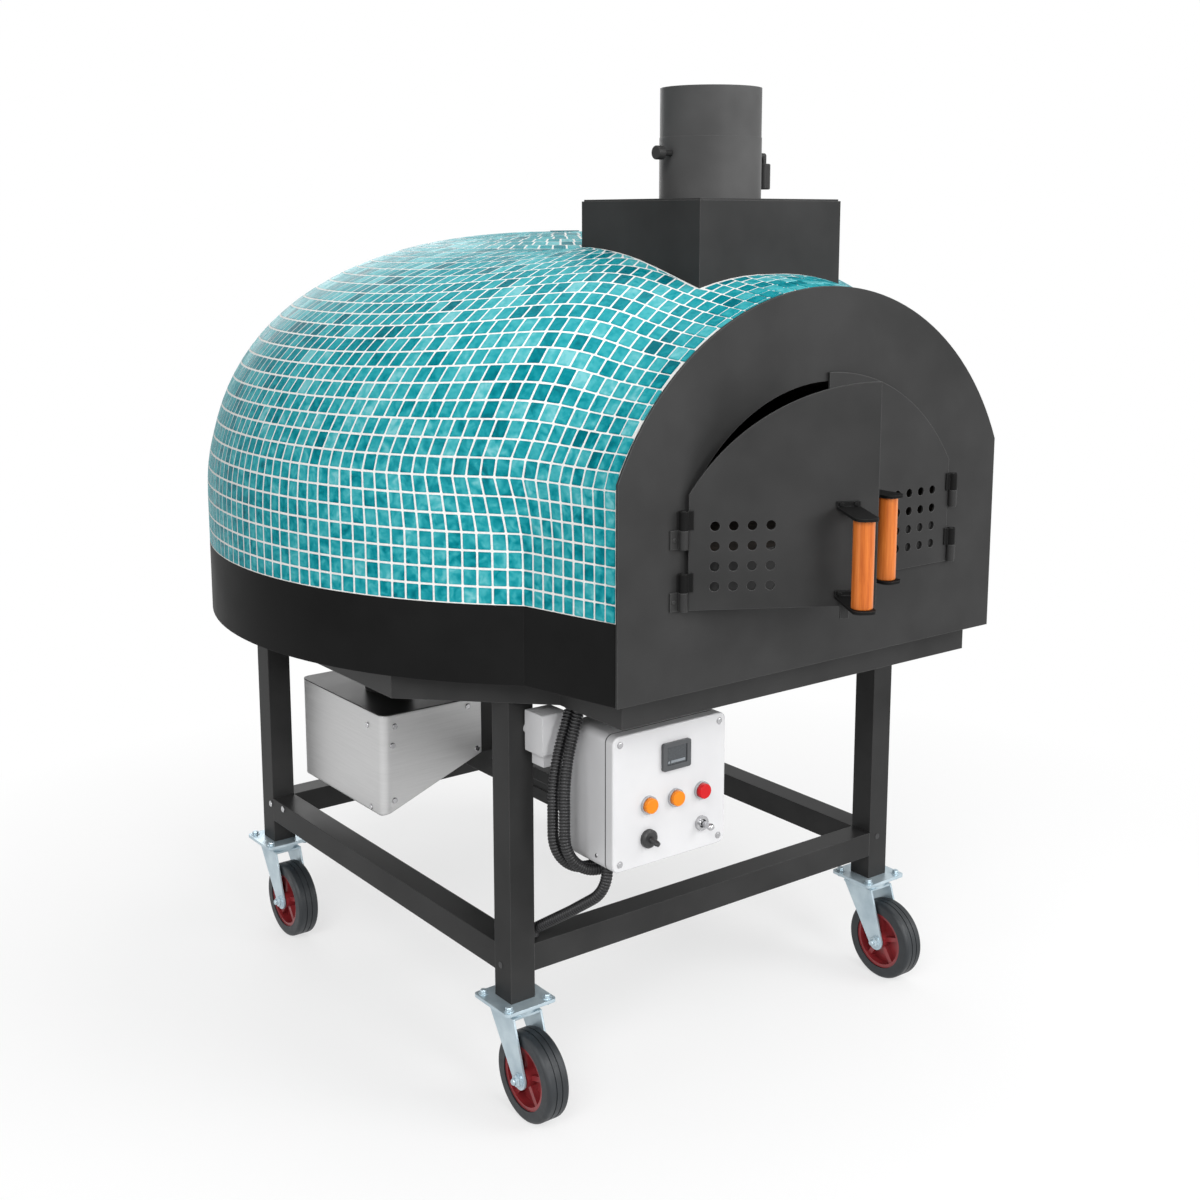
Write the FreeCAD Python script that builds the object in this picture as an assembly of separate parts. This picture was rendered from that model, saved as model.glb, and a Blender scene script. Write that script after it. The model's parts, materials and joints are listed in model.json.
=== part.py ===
import FreeCAD, Part
import math
import os
from FreeCAD import Vector as V

# Mobile domed pizza oven on a castered stand. Millimetres, +Z up, front faces -Y.
# While building, Y = 0 is the front plate's face; the last step centres the oven on the origin.

# Stand of square tube
TUBE = 50.0              # leg and rail section, outside
TUBE_WALL = 3.0
STAND_W = 940.0          # across the legs, outside
STAND_D = 974.0          # front legs to rear legs, outside
STAND_SETBACK = 260.0    # front plate's face to the front legs
LEG_L = 544.0            # caster plate to tray
RAIL_LIFT = 49.0         # caster plate to the underside of a rail

# Swivel casters
WHEEL_D = 160.0
TYRE_W = 45.0
TYRE_T = 22.0            # rubber depth
GROOVE_W = 2.0           # two grooves round the tread
GROOVE_D = 1.5
GROOVE_X = 6.0           # each groove from the middle of the tread
TRAIL = 54.0             # wheel axle ahead of the swivel axis
CASTER_H = 206.0         # floor to the top of the caster plate
CASTER_PLATE = 106.0
CASTER_PLATE_T = 6.0
CASTER_PLATE_R = 8.0     # corner radius
KINGPIN_R = 8.0
RACE_R = 38.0
RACE_H = 14.0
FORK_T = 4.0
FORK_CROWN = 76.0        # fork width at the race
FORK_BOSS_R = 18.0       # rounded foot round the axle
AXLE_R = 6.0
HUB_BOSS_R = 17.0
HUB_PROUD = 1.0          # boss beyond the tyre on each side
HUB_SINK = 3.0           # rim inside the tyre on each side
WEB_T = 5.0
SPOKE_SINK = 8.0         # spokes inside the tyre on each side
HUB_RIM_T = 7.0
HUB_SPOKES = 5
SPOKE_T = 9.0
SWIVEL_GAP = 0.5         # between plate and race
WHEEL_GAP = 3.0          # between fork cheek and hub
RUN_FIT = 0.05           # radial running clearance of pins and shafts

# Tray and floor pan under the oven
TRAY_H = 48.0
TRAY_T = 4.0
TRAY_NOSE = 408.0        # half width under the neck
TRAY_WIDE = 612.0        # half width under the drum
TRAY_INSET = 30.0        # behind the front plate's face
PAN_T = 4.0

# Round body with its neck
DRUM_R = 721.0
DRUM_SETBACK = 8.0       # drum wall behind the front plate's face
BAND_H = 134.0           # black skirt band
BAND_T = 3.0
SPRING = 88.0            # upright wall above the band
DOME_RISE = 505.0        # wall top to crown
CROWN_FULL = 2.4         # fullness of the profile towards the crown, 2 is an ellipse
WALL_FULL = 2.3          # fullness towards the wall
NECK_FLARE = 0.236       # widening of the neck per unit of depth
NECK_RISE = 0.14         # climb of its ridge per unit of depth
NECK_DEPTH = 460.0       # neck runs on inside the drum to here
TILE_T = 14.0            # mosaic and its mortar bed
WOOL_T = 96.0            # insulation over the refractory dome
BRICK_T = 75.0           # refractory dome
SEAT = 0.5               # slack between nested layers
HEARTH_T = 83.0
JOINT_W = 3.0            # joints between the hearth slabs

# Front plate and mouth
PLATE_W = 880.0
PLATE_SIDE = 353.0       # straight side
PLATE_RISE = 289.0       # arch above the straight side
PLATE_T = 5.0
PLATE_LIP = 3.0          # plate edge beyond the tiles
MOUTH_W = 580.0
MOUTH_R = 345.0          # arch of the mouth, centred at the doors' foot
DOOR_FOOT = 140.0        # plate foot to doors' foot
ARCH_T = 60.0            # entry arch wall

# Doors
DOOR_R = 360.0
DOOR_HALF = 308.0        # hinge edge from the middle
DOOR_T = 4.0
DOOR_GAP = 2.0           # plate to door
MEET_GAP = 4.0           # between the doors
AJAR = 30.0              # left door, degrees open
VENT_R = 7.8
VENT_ROWS = 4
VENT_PITCH_X = 30.0
VENT_PITCH_Z = 32.4
VENT_SIDE = 42.0         # first vent from the hinge edge
VENT_FOOT = 38.0         # first vent from the doors' foot
HINGE_EDGE = 1.0         # door edge to barrel
HINGE_R = 7.5
HINGE_PIN_R = 3.0
HINGE_L = 61.0
HINGE_LOW = 0.0          # lower hinge from the doors' foot
HINGE_STEP = 100.0
LEAF_L = 21.0            # plate leaf from the hinge axis
DOOR_LEAF_L = 16.0       # door leaf from the hinge axis
LEAF_T = 3.0
KNUCKLE_GAP = 0.5
GRIP_R = 17.0
GRIP_L = 140.0
GRIP_LIFT = 18.0         # grip's foot above the doors' foot
GRIP_EDGE = 50.0         # grip from the door's free edge
GRIP_REACH = 90.0        # grip's middle from the door
GRIP_ROD_R = 5.0
BRACKET_W = 38.0
BRACKET_T = 5.0
BRACKET_NOSE = 24.0      # bracket beyond the grip's middle
TAB_H = 13.0
CATCH_W = 14.0
CATCH_H = 20.0

# Hood and flue
HOOD_W = 326.0
HOOD_FRONT = 138.0
HOOD_TOP_Z = 143.0       # hood top above the neck's crown
HOOD_T = 2.0
LID_INSET = 3.0
SHAFT_W = 160.0          # smoke shaft through the crown of the neck
SHAFT_D = 160.0
SHAFT_LEAD = 20.0        # inside of the hood's front to the shaft
FLUE_R = 90.6
FLUE_WALL = 3.0
FLUE_H = 192.0
SPIGOT_R = 89.8          # swaged end that a 180 mm pipe slips over
SPIGOT_L = 85.0
DAMPER_DROP = 113.0      # flue top to the damper spindle
DAMPER_GAP = 3.6
DAMPER_T = 3.0
SPINDLE_R = 5.0
KNOB_R = 12.0
KNOB_L = 16.0
KNOB_REACH = 27.0        # knob's middle from the flue
WEIGHT_R = 12.5
WEIGHT_L = 46.0
WEIGHT_REACH = 38.0
WEIGHT_DROP = 14.0       # spindle to weight

# Control box under the neck
PANEL_W = 244.0
PANEL_H = 235.0
PANEL_LEFT = -387.0
PANEL_DROP = 31.0        # tray to box
PANEL_Y = 80.0           # lid face behind the front plate
LID_D = 20.0
BOX_D = 100.0
BOX_WALL = 4.0
BOX_R = 14.0
METER_W = 60.0           # temperature controller bezel
METER_H = 48.0
METER_PROUD = 6.0
METER_R = 4.0            # corner radius
WINDOW_SINK = 2.0
METER_UP = 54.0          # meter centre below the panel top
BEZEL_R = 15.5
BEZEL_PROUD = 6.0
BUTTON_R = 13.0
BUTTON_EDGE = 2.0        # rounded rim of a button
BUTTON_PROUD = 13.0
BUTTON_TRAVEL = 4.0
BUTTON_DOWN = 129.0
BUTTON_PITCH = 58.0
BUTTON_SHIFT = 10.0      # middle button right of the panel's middle
SWITCH_DOWN = 188.0
SELECTOR_R = 16.0
SELECTOR_GAP = 0.4       # dial off the panel
SELECTOR_DIAL = 7.0      # dial's face off the panel
SELECTOR_PROUD = 24.0    # blade's tip off the panel
SELECTOR_BLADE = 10.0    # blade's thickness
SELECTOR_SHAFT_R = 4.0
TOGGLE_RING_R = 13.0
TOGGLE_ROOT_R = 4.0
TOGGLE_TIP_R = 6.2
TOGGLE_HOLE_R = 7.5
BALL_GAP = 0.3           # toggle's pivot ball in its hole
TOGGLE_L = 26.0
HANGER_W = 36.0
HANGER_T = 12.0

# Junction box beside the front left leg
JUNCTION_W = 50.0
JUNCTION_D = 52.0
JUNCTION_H = 71.0
JUNCTION_STEP = 21.0
JUNCTION_R = 3.0
JUNCTION_GAP = 3.0       # to the control box
JUNCTION_DROP = 15.0     # tray to junction box
JUNCTION_FOOT = 6.0      # foot inside the box on each side
GLAND_R = 10.0

# Corrugated conduits
HOSE_R = 10.0            # rib crest
HOSE_VALLEY = 8.6
HOSE_BORE = 7.0
HOSE_RIB = 12.0          # rib pitch
HOSE_X = -396.0          # where two conduits leave the tray
HOSE_Y = 158.0
HOSE_STEP = 22.0
HOSE_SWAY = 32.0         # sideways lean on the way down
HOSE_LEAN = 35.0         # degrees at the middle of the lean
HOSE_BEND = 78.0
HOSE_EXIT = 20.0
HOSE_END = 3.0           # straight end under the box
HOSE_PORT_X = -318.0
TAIL_PORT = (-366.0, 122.0)
TAIL_FOOT = (-405.0, 285.0)
TAIL_BEND = 90.0
TAIL_EXIT = 22.0         # bend onto the rail
TAIL_LEAN = 56.0         # degrees

# Burner under the drum
BURNER_X = -410.0
BURNER_W = 233.0
BURNER_AFT = 71.0        # housing's front behind the drum's axis
BURNER_D = 352.0
BURNER_H = 209.0
BURNER_RAKE = 90.0       # underside rises this much towards the middle
BURNER_DROP = 175.0      # tray to the housing's top
BURNER_T = 2.0
BURNER_R = 20.0
TUBE_R = 50.0            # burner tube through the floor
TUBE_CLEAR = 2.0
TUBE_UP = 30.0           # burner mouth above the hearth
DUCT_W = 75.0
DUCT_D = 100.0
CHANNEL_W = 50.0
CHANNEL_H = 65.0
CHANNEL_DROP = 289.0     # tray to the channel's top
CHANNEL_T = 2.5
CHANNEL_STEP = 370.0     # where the channel steps down behind the box

# Heights and places that follow
DRUM_Y = DRUM_R + DRUM_SETBACK
BURNER_Y = DRUM_Y + BURNER_AFT
LEG_TOP = CASTER_H + LEG_L
BODY_Z = LEG_TOP + TRAY_H
BAND_TOP = BODY_Z + BAND_H
SPRING_Z = BAND_TOP + SPRING
HEARTH_Z = BAND_TOP + HEARTH_T
DOOR_Z = BODY_Z + DOOR_FOOT
PLATE_KINK = BODY_Z + PLATE_SIDE
PLATE_TOP = PLATE_KINK + PLATE_RISE
PLATE_ARC = ((PLATE_W / 2) ** 2 + PLATE_RISE ** 2) / (2 * PLATE_RISE)
HOOD_Z = PLATE_TOP + HOOD_TOP_Z
FLUE_Z = HOOD_Z + FLUE_H
HOOD_MID = HOOD_FRONT + HOOD_W / 2
DAMPER_Z = FLUE_Z - DAMPER_DROP
FLUE_BORE = FLUE_R - FLUE_WALL
AXLE_Z = WHEEL_D / 2
PANEL_TOP = LEG_TOP - PANEL_DROP
PANEL_MID = PANEL_LEFT + PANEL_W / 2
BOX_BACK = PANEL_Y + LID_D + BOX_D
HINGE_X = DOOR_HALF + HINGE_EDGE + HINGE_R
HINGE_Y = -DOOR_GAP - HINGE_R
HEARTH_R = DRUM_R - TILE_T - WOOL_T - BRICK_T - 2 * SEAT


def box(x0, x1, y0, y1, z0, z1):
    """Block between two corners."""
    return Part.makeBox(x1 - x0, y1 - y0, z1 - z0, V(x0, y0, z0))


def rod(radius, start, end):
    """Round bar between two points."""
    axis = end - start
    return Part.makeCylinder(radius, axis.Length, start, axis)


def line(a, b):
    return Part.LineSegment(a, b).toShape()


def prism(points, direction):
    """Flat outline pushed along a direction."""
    return Part.Face(Part.makePolygon(points + points[:1])).extrude(direction)


def joined(shapes):
    """One solid from touching or crossing pieces."""
    return shapes[0].fuse(shapes[1:]).removeSplitter()


def square_tube(x0, x1, y0, y1, z0, z1, along):
    """Hollow square tube, open at both ends of its length."""
    inner = [x0, x1, y0, y1, z0, z1]
    for i in range(3):
        if i != along:
            inner[2 * i] += TUBE_WALL
            inner[2 * i + 1] -= TUBE_WALL
    return box(x0, x1, y0, y1, z0, z1).cut(box(*inner))


def rounded(shape, radius, wanted):
    """Shape with the edges that the test picks rounded off."""
    return shape.makeFillet(radius, [e for e in shape.Edges if wanted(e)])


def runs_along(edge, axis):
    """True for a straight edge along the axis."""
    ends = edge.Vertexes
    if len(ends) < 2:
        return False
    span = ends[1].Point - ends[0].Point
    return span.Length > 0 and abs(abs(span.dot(axis)) - span.Length) < 1e-6


X, Y, Z = V(1, 0, 0), V(0, 1, 0), V(0, 0, 1)


def arch_wire(half, z_low, centre_z, radius, y):
    """Straight sides under one arc, in the plane at y."""
    kink = centre_z + math.sqrt(radius ** 2 - half ** 2)
    a, b = V(-half, y, z_low), V(half, y, z_low)
    c, d = V(half, y, kink), V(-half, y, kink)
    crown = V(0, y, centre_z + radius)
    return Part.Wire([line(a, b), line(b, c), Part.Arc(c, crown, d).toShape(), line(d, a)])


def arch_prism(half, z_low, centre_z, radius, y0, y1):
    return Part.Face(arch_wire(half, z_low, centre_z, radius, y0)).extrude(V(0, y1 - y0, 0))


def neck_half(y, inset):
    """Half width of the neck at a depth behind the front plate's face."""
    return PLATE_W / 2 - PLATE_LIP + NECK_FLARE * y - inset


def neck(inset, z_low, y_low):
    """Flaring vault from the front plate into the drum."""
    wires = []
    for y in (y_low, NECK_DEPTH):
        full = neck_half(y, 0)
        crown = PLATE_TOP - PLATE_LIP + NECK_RISE * y
        rise = crown - PLATE_KINK
        arc = (full ** 2 + rise ** 2) / (2 * rise)
        wires.append(arch_wire(full - inset, z_low, crown - arc, arc - inset, y))
    return Part.makeLoft(wires, True, True)


def dome(inset, z_low):
    """Turned drum: an upright wall under a full, flattened crown."""
    r, rise = DRUM_R - inset, DOME_RISE - inset
    steps = 10
    points = []
    for i in range(steps):
        t = i / steps * math.pi / 2
        points.append(V(r * math.cos(t) ** (2 / CROWN_FULL), 0,
                        SPRING_Z + rise * math.sin(t) ** (2 / WALL_FULL)))
    points.append(V(0, 0, SPRING_Z + rise))
    crown = Part.BSplineCurve()
    crown.interpolate(Points=points, InitialTangent=Z, FinalTangent=-X)
    foot, corner = V(0, 0, z_low), V(r, 0, z_low)
    outline = Part.Wire([line(foot, corner), line(corner, points[0]), crown.toShape(),
                         line(points[-1], foot)])
    turned = Part.Face(outline).revolve(V(0, 0, 0), Z, 360)
    turned.translate(V(0, DRUM_Y, 0))
    return turned


def oven_body(inset, z_low, y_low):
    """Drum and neck as one closed form."""
    return joined([dome(inset, z_low), neck(inset, z_low, y_low)])


def floor_plan(inset, z0, z1, y_low):
    """Upright-sided slab with the outline of drum and neck."""
    near, far = neck_half(y_low, inset), neck_half(NECK_DEPTH, inset)
    nose = prism([V(-near, y_low, z0), V(near, y_low, z0), V(far, NECK_DEPTH, z0),
                  V(-far, NECK_DEPTH, z0)], V(0, 0, z1 - z0))
    return joined([rod(DRUM_R - inset, V(0, DRUM_Y, z0), V(0, DRUM_Y, z1)), nose])


parts = {}

# Legs and lower rails
LEG_X, FRONT_Y = STAND_W / 2, STAND_SETBACK
BACK_Y = STAND_SETBACK + STAND_D
RAIL_Z = CASTER_H + RAIL_LIFT
corners = {"fl": (-LEG_X, FRONT_Y), "fr": (LEG_X - TUBE, FRONT_Y),
           "rl": (-LEG_X, BACK_Y - TUBE), "rr": (LEG_X - TUBE, BACK_Y - TUBE)}
for name, (x, y) in corners.items():
    parts["leg_" + name] = square_tube(x, x + TUBE, y, y + TUBE, CASTER_H, LEG_TOP, 2)
for name, y in (("front", FRONT_Y), ("rear", BACK_Y - TUBE)):
    parts["rail_" + name] = square_tube(TUBE - LEG_X, LEG_X - TUBE, y, y + TUBE,
                                        RAIL_Z, RAIL_Z + TUBE, 0)
for name, x in (("left", -LEG_X), ("right", LEG_X - TUBE)):
    parts["rail_" + name] = square_tube(x, x + TUBE, FRONT_Y + TUBE, BACK_Y - TUBE,
                                        RAIL_Z, RAIL_Z + TUBE, 1)

# Casters: plate on the leg, swivelling fork with its axle, spoked hub, tyre
RIM_R = WHEEL_D / 2 - TYRE_T
HUB_W = TYRE_W + 2 * HUB_PROUD
CHEEK = HUB_W / 2 + WHEEL_GAP
PLATE_FOOT = CASTER_H - CASTER_PLATE_T
RACE_TOP = PLATE_FOOT - SWIVEL_GAP
CROWN_Z = RACE_TOP - RACE_H


def tangent_point(outer, centre, radius, side):
    """Where a line from a point touches a circle in the YZ plane."""
    away = outer - centre
    turn = math.atan2(away.z, away.y) + side * math.acos(radius / away.Length)
    return centre + V(0, radius * math.cos(turn), radius * math.sin(turn))


def fork():
    """Race, crown, two tapering cheeks and the axle, about the swivel axis."""
    axle = V(0, -TRAIL, AXLE_Z)
    cheeks = []
    half = FORK_CROWN / 2
    for x in (-CHEEK - FORK_T, CHEEK):
        centre = V(x, axle.y, axle.z)
        front, back = V(x, -half, CROWN_Z), V(x, half, CROWN_Z)
        low_f = tangent_point(front, centre, FORK_BOSS_R, 1)
        low_b = tangent_point(back, centre, FORK_BOSS_R, -1)
        tip = centre + (centre - (front + back) / 2).normalize() * FORK_BOSS_R
        outline = Part.Wire([line(back, front), line(front, low_f),
                             Part.Arc(low_f, tip, low_b).toShape(), line(low_b, back)])
        cheeks.append(Part.Face(outline).extrude(V(FORK_T, 0, 0)))
    outer = CHEEK + FORK_T
    crown = box(-outer, outer, -half, half, CROWN_Z - FORK_T, CROWN_Z)
    race = rod(RACE_R, V(0, 0, CROWN_Z), V(0, 0, RACE_TOP))
    kingpin = rod(KINGPIN_R, V(0, 0, RACE_TOP), V(0, 0, CASTER_H - SWIVEL_GAP))
    pin = rod(AXLE_R, V(-outer - AXLE_R, axle.y, axle.z), V(outer + AXLE_R, axle.y, axle.z))
    nuts = [rod(1.6 * AXLE_R, V(s * outer, axle.y, axle.z), V(s * (outer + AXLE_R), axle.y, axle.z))
            for s in (-1, 1)]
    return joined([race, crown, kingpin, pin] + cheeks + nuts)


def hub():
    """Rim ring, boss, thin web and stout spokes, bored for the axle."""
    def disc(r, w):
        return rod(r, V(-w / 2, 0, 0), V(w / 2, 0, 0))
    rim = disc(RIM_R, TYRE_W - 2 * HUB_SINK).cut(disc(RIM_R - HUB_RIM_T, TYRE_W))
    web = disc(RIM_R - HUB_RIM_T, WEB_T)
    reach = TYRE_W / 2 - SPOKE_SINK
    spoke = box(-reach, reach, -SPOKE_T / 2, SPOKE_T / 2, 0, RIM_R - HUB_RIM_T / 2)
    spokes = []
    for i in range(HUB_SPOKES):
        copy = spoke.copy()
        copy.rotate(V(0, 0, 0), X, i * 360 / HUB_SPOKES)
        spokes.append(copy)
    body = joined([rim, web, disc(HUB_BOSS_R, HUB_W)] + spokes)
    return body.cut(disc(AXLE_R + RUN_FIT, 2 * HUB_W))


def tyre():
    """Solid tyre with rounded shoulders and two grooves round its tread."""
    ring = rod(WHEEL_D / 2, V(-TYRE_W / 2, 0, 0), V(TYRE_W / 2, 0, 0))
    ring = ring.makeFillet(TYRE_T / 3, [e for e in ring.Edges if len(e.Vertexes) == 1])
    cuts = [rod(RIM_R, V(-TYRE_W, 0, 0), V(TYRE_W, 0, 0))]
    for x in (-GROOVE_X, GROOVE_X):
        ends = V(x - GROOVE_W / 2, 0, 0), V(x + GROOVE_W / 2, 0, 0)
        cuts.append(rod(WHEEL_D / 2 + GROOVE_D, *ends).cut(rod(WHEEL_D / 2 - GROOVE_D, *ends)))
    return ring.cut(cuts)


fork_shape, hub_shape, tyre_shape = fork(), hub(), tyre()
caster_plates = []
for name, (x, y) in corners.items():
    at = V(x + TUBE / 2, y + TUBE / 2, 0)
    half = CASTER_PLATE / 2
    slab = box(at.x - half, at.x + half, at.y - half, at.y + half, PLATE_FOOT, CASTER_H)
    slab = rounded(slab, CASTER_PLATE_R, lambda e: runs_along(e, Z))
    caster_plates.append(slab.cut(rod(KINGPIN_R + RUN_FIT, V(at.x, at.y, 0), V(at.x, at.y, CASTER_H))))
    parts["fork_" + name] = fork_shape.translated(at)
    axle = at + V(0, -TRAIL, AXLE_Z)
    parts["hub_" + name] = hub_shape.translated(axle)
    parts["tyre_" + name] = tyre_shape.translated(axle)
parts["caster_plates"] = Part.makeCompound(caster_plates)

# Burner: raked stainless housing, black duct with the burner tube, cable channel
BURNER_TOP = LEG_TOP - BURNER_DROP
BURNER_END = BURNER_X + BURNER_W
TUBE_X = BURNER_X + BURNER_W / 2
TUBE_Y = BURNER_Y + BURNER_D / 2


def burner_case(inset):
    """Box with a raked underside and rounded upright edges."""
    x0, x1 = BURNER_X + inset, BURNER_END - inset
    y0, top = BURNER_Y + inset, BURNER_TOP + (1 if inset else 0)
    low = BURNER_TOP - BURNER_H + inset
    side = [V(x0, y0, top), V(x1, y0, top), V(x1, y0, low + BURNER_RAKE), V(x0, y0, low)]
    solid = prism(side, V(0, BURNER_D - 2 * inset, 0))
    return rounded(solid, BURNER_R - inset, lambda e: runs_along(e, Z) and abs(e.Vertexes[0].X - x0) < 1)


parts["burner_housing"] = burner_case(0).cut(burner_case(BURNER_T))
cover = box(BURNER_X, BURNER_END, BURNER_Y, BURNER_Y + BURNER_D, BURNER_TOP, BURNER_TOP + BURNER_T)
cover = rounded(cover, BURNER_R, lambda e: runs_along(e, Z) and abs(e.Vertexes[0].X - BURNER_X) < 1)
side_duct = box(BURNER_END, BURNER_END + DUCT_W, BURNER_Y, BURNER_Y + DUCT_D,
                BURNER_TOP - BURNER_H + BURNER_RAKE, LEG_TOP)
burner_tube = rod(TUBE_R, V(TUBE_X, TUBE_Y, BURNER_TOP), V(TUBE_X, TUBE_Y, HEARTH_Z + TUBE_UP))
bore = rod(TUBE_R - BURNER_T, V(TUBE_X, TUBE_Y, BURNER_TOP + 2 * BURNER_T),
           V(TUBE_X, TUBE_Y, HEARTH_Z + TUBE_UP))
floor_port = rod(TUBE_R + TUBE_CLEAR, V(TUBE_X, TUBE_Y, LEG_TOP - 1), V(TUBE_X, TUBE_Y, HEARTH_Z + 1))
bridge = box(BURNER_END - BURNER_T, BURNER_END + DUCT_W, BURNER_Y, BURNER_Y + DUCT_D,
             BURNER_TOP, BURNER_TOP + BURNER_T)
parts["burner_duct"] = joined([cover, burner_tube, bridge, side_duct]).cut(bore)

CHANNEL_TOP = LEG_TOP - CHANNEL_DROP
CHANNEL_X = BURNER_END + DUCT_W - CHANNEL_W
PANEL_FOOT = PANEL_TOP - PANEL_H
CHANNEL_LOW = CHANNEL_TOP - CHANNEL_H
CHANNEL_END = CHANNEL_X + CHANNEL_W
run = box(CHANNEL_X, CHANNEL_END, CHANNEL_STEP, BURNER_Y, CHANNEL_LOW, CHANNEL_TOP)
riser = box(CHANNEL_X, CHANNEL_END, CHANNEL_STEP, CHANNEL_STEP + CHANNEL_W, CHANNEL_LOW, PANEL_FOOT + CHANNEL_H)
lead = box(CHANNEL_X, CHANNEL_END, BOX_BACK, CHANNEL_STEP + CHANNEL_W, PANEL_FOOT, PANEL_FOOT + CHANNEL_H)
rear = box(CHANNEL_X, CHANNEL_END, BURNER_Y, BURNER_Y + DUCT_D, CHANNEL_LOW, BURNER_TOP - BURNER_H + BURNER_RAKE)
groove = box(CHANNEL_X - 1, CHANNEL_X + CHANNEL_T, CHANNEL_STEP + CHANNEL_W, BURNER_Y,
             CHANNEL_TOP - 0.62 * CHANNEL_H, CHANNEL_TOP - 0.38 * CHANNEL_H)
parts["cable_channel"] = joined([run, riser, lead, rear]).cut(groove)

# Tray: shallow welded pan on the legs, with a hole for the burner tube


def tray_outline(inset, z):
    """Eight-sided pan with a nose under the neck, clear of the leg corners."""
    n, w = TRAY_NOSE - inset, TRAY_WIDE - inset
    y0 = TRAY_INSET + inset
    y1 = FRONT_Y - (LEG_X - TRAY_NOSE) + inset
    y2 = FRONT_Y + (TRAY_WIDE - LEG_X) + inset
    y3 = BACK_Y - (TRAY_WIDE - LEG_X) - inset
    y4 = BACK_Y + (LEG_X - TRAY_NOSE) - inset
    half = [(n, y0), (n, y1), (w, y2), (w, y3), (n, y4)]
    return [V(x, y, z) for x, y in half] + [V(-x, y, z) for x, y in reversed(half)]


tray = prism(tray_outline(0, LEG_TOP), V(0, 0, TRAY_H))
tray = tray.cut(prism(tray_outline(TRAY_T, LEG_TOP + TRAY_T), V(0, 0, TRAY_H)))
parts["base_tray"] = tray.cut(floor_port)

# Floor pan, skirt band and insulating floor
parts["base_pan"] = floor_plan(BAND_T + SEAT, BODY_Z, BODY_Z + PAN_T, PLATE_T).cut(floor_port)
parts["skirt_band"] = floor_plan(0, BODY_Z, BAND_TOP, PLATE_T).cut(
    floor_plan(BAND_T, BODY_Z, BAND_TOP, 0))
parts["hearth_insulation"] = floor_plan(BAND_T + SEAT, BODY_Z + PAN_T, BAND_TOP, PLATE_T).cut(floor_port)

# Layers of the oven: smoke shaft and mouth run through all of them
WOOL_IN = TILE_T + SEAT
BRICK_OUT = WOOL_IN + WOOL_T + SEAT
BRICK_IN = BRICK_OUT + BRICK_T
MOUTH_HALF = MOUTH_W / 2
shaft_front = HOOD_FRONT + HOOD_T + SHAFT_LEAD
shaft_back = shaft_front + SHAFT_D
shaft = box(-SHAFT_W / 2, SHAFT_W / 2, shaft_front, shaft_back, DOOR_Z + MOUTH_R / 2, HOOD_Z)
tunnel = arch_prism(MOUTH_HALF, BAND_TOP, DOOR_Z, MOUTH_R, 0, DRUM_Y - HEARTH_R / 2)
arch_block = arch_prism(MOUTH_HALF + ARCH_T, BAND_TOP, DOOR_Z, MOUTH_R + ARCH_T, PLATE_T, shaft_back)
brick_outside = dome(BRICK_OUT, BAND_TOP)
cavity = dome(BRICK_IN, BAND_TOP)
ahead = box(-DRUM_R, DRUM_R, 0, shaft_back, BAND_TOP, HOOD_Z)
ahead_seat = box(-DRUM_R, DRUM_R, 0, shaft_back + SEAT, BAND_TOP, HOOD_Z)
parts["inner_dome"] = brick_outside.cut([cavity, tunnel, ahead_seat])
parts["entry_arch"] = joined([arch_block, brick_outside.common(ahead)]).cut([cavity, tunnel, shaft])
wool = oven_body(WOOL_IN, BAND_TOP, PLATE_T)
arch_room = arch_prism(MOUTH_HALF + ARCH_T + SEAT, BAND_TOP, DOOR_Z, MOUTH_R + ARCH_T + SEAT,
                       0, shaft_back + SEAT)
parts["dome_insulation"] = wool.cut([dome(BRICK_OUT - SEAT, BAND_TOP), arch_room, shaft])
outside = oven_body(0, BAND_TOP, PLATE_T)
parts["tiled_shell"] = outside.cut([oven_body(TILE_T, BAND_TOP, 0), shaft])

slab = rod(HEARTH_R - 2 * SEAT, V(0, DRUM_Y, BAND_TOP), V(0, DRUM_Y, HEARTH_Z))
lip = box(-MOUTH_HALF + SEAT, MOUTH_HALF - SEAT, PLATE_T, DRUM_Y - HEARTH_R / 2, BAND_TOP, HEARTH_Z)
joints = [box(-JOINT_W / 2, JOINT_W / 2, 0, 2 * DRUM_Y, HEARTH_Z - JOINT_W, HEARTH_Z + 1),
          box(-DRUM_R, DRUM_R, DRUM_Y - JOINT_W / 2, DRUM_Y + JOINT_W / 2, HEARTH_Z - JOINT_W, HEARTH_Z + 1)]
parts["hearth_stones"] = joined([slab, lip]).cut(joints + [floor_port])

# Front plate with its mouth
plate = arch_prism(PLATE_W / 2, BODY_Z, PLATE_TOP - PLATE_ARC, PLATE_ARC, 0, PLATE_T)
mouth = arch_prism(MOUTH_HALF, HEARTH_Z, DOOR_Z, MOUTH_R, -1, PLATE_T + 1)
parts["front_plate"] = plate.cut(mouth)

# Hood scribed to the tiled vault, and the flue with its damper
half = HOOD_W / 2
hood = box(-half, half, HOOD_FRONT, HOOD_FRONT + HOOD_W, PLATE_KINK, HOOD_Z)
room = box(-half + HOOD_T, half - HOOD_T, HOOD_FRONT + HOOD_T, HOOD_FRONT + HOOD_W - HOOD_T,
           PLATE_KINK, HOOD_Z - LID_INSET - HOOD_T)
rim = box(-half, half, HOOD_FRONT, HOOD_FRONT + HOOD_W, HOOD_Z - LID_INSET, HOOD_Z)
lid = box(-half + LID_INSET, half - LID_INSET, HOOD_FRONT + LID_INSET, HOOD_FRONT + HOOD_W - LID_INSET,
          HOOD_Z - LID_INSET, HOOD_Z)
flue_bore = rod(FLUE_BORE, V(0, HOOD_MID, PLATE_TOP), V(0, HOOD_MID, FLUE_Z + 1))
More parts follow.
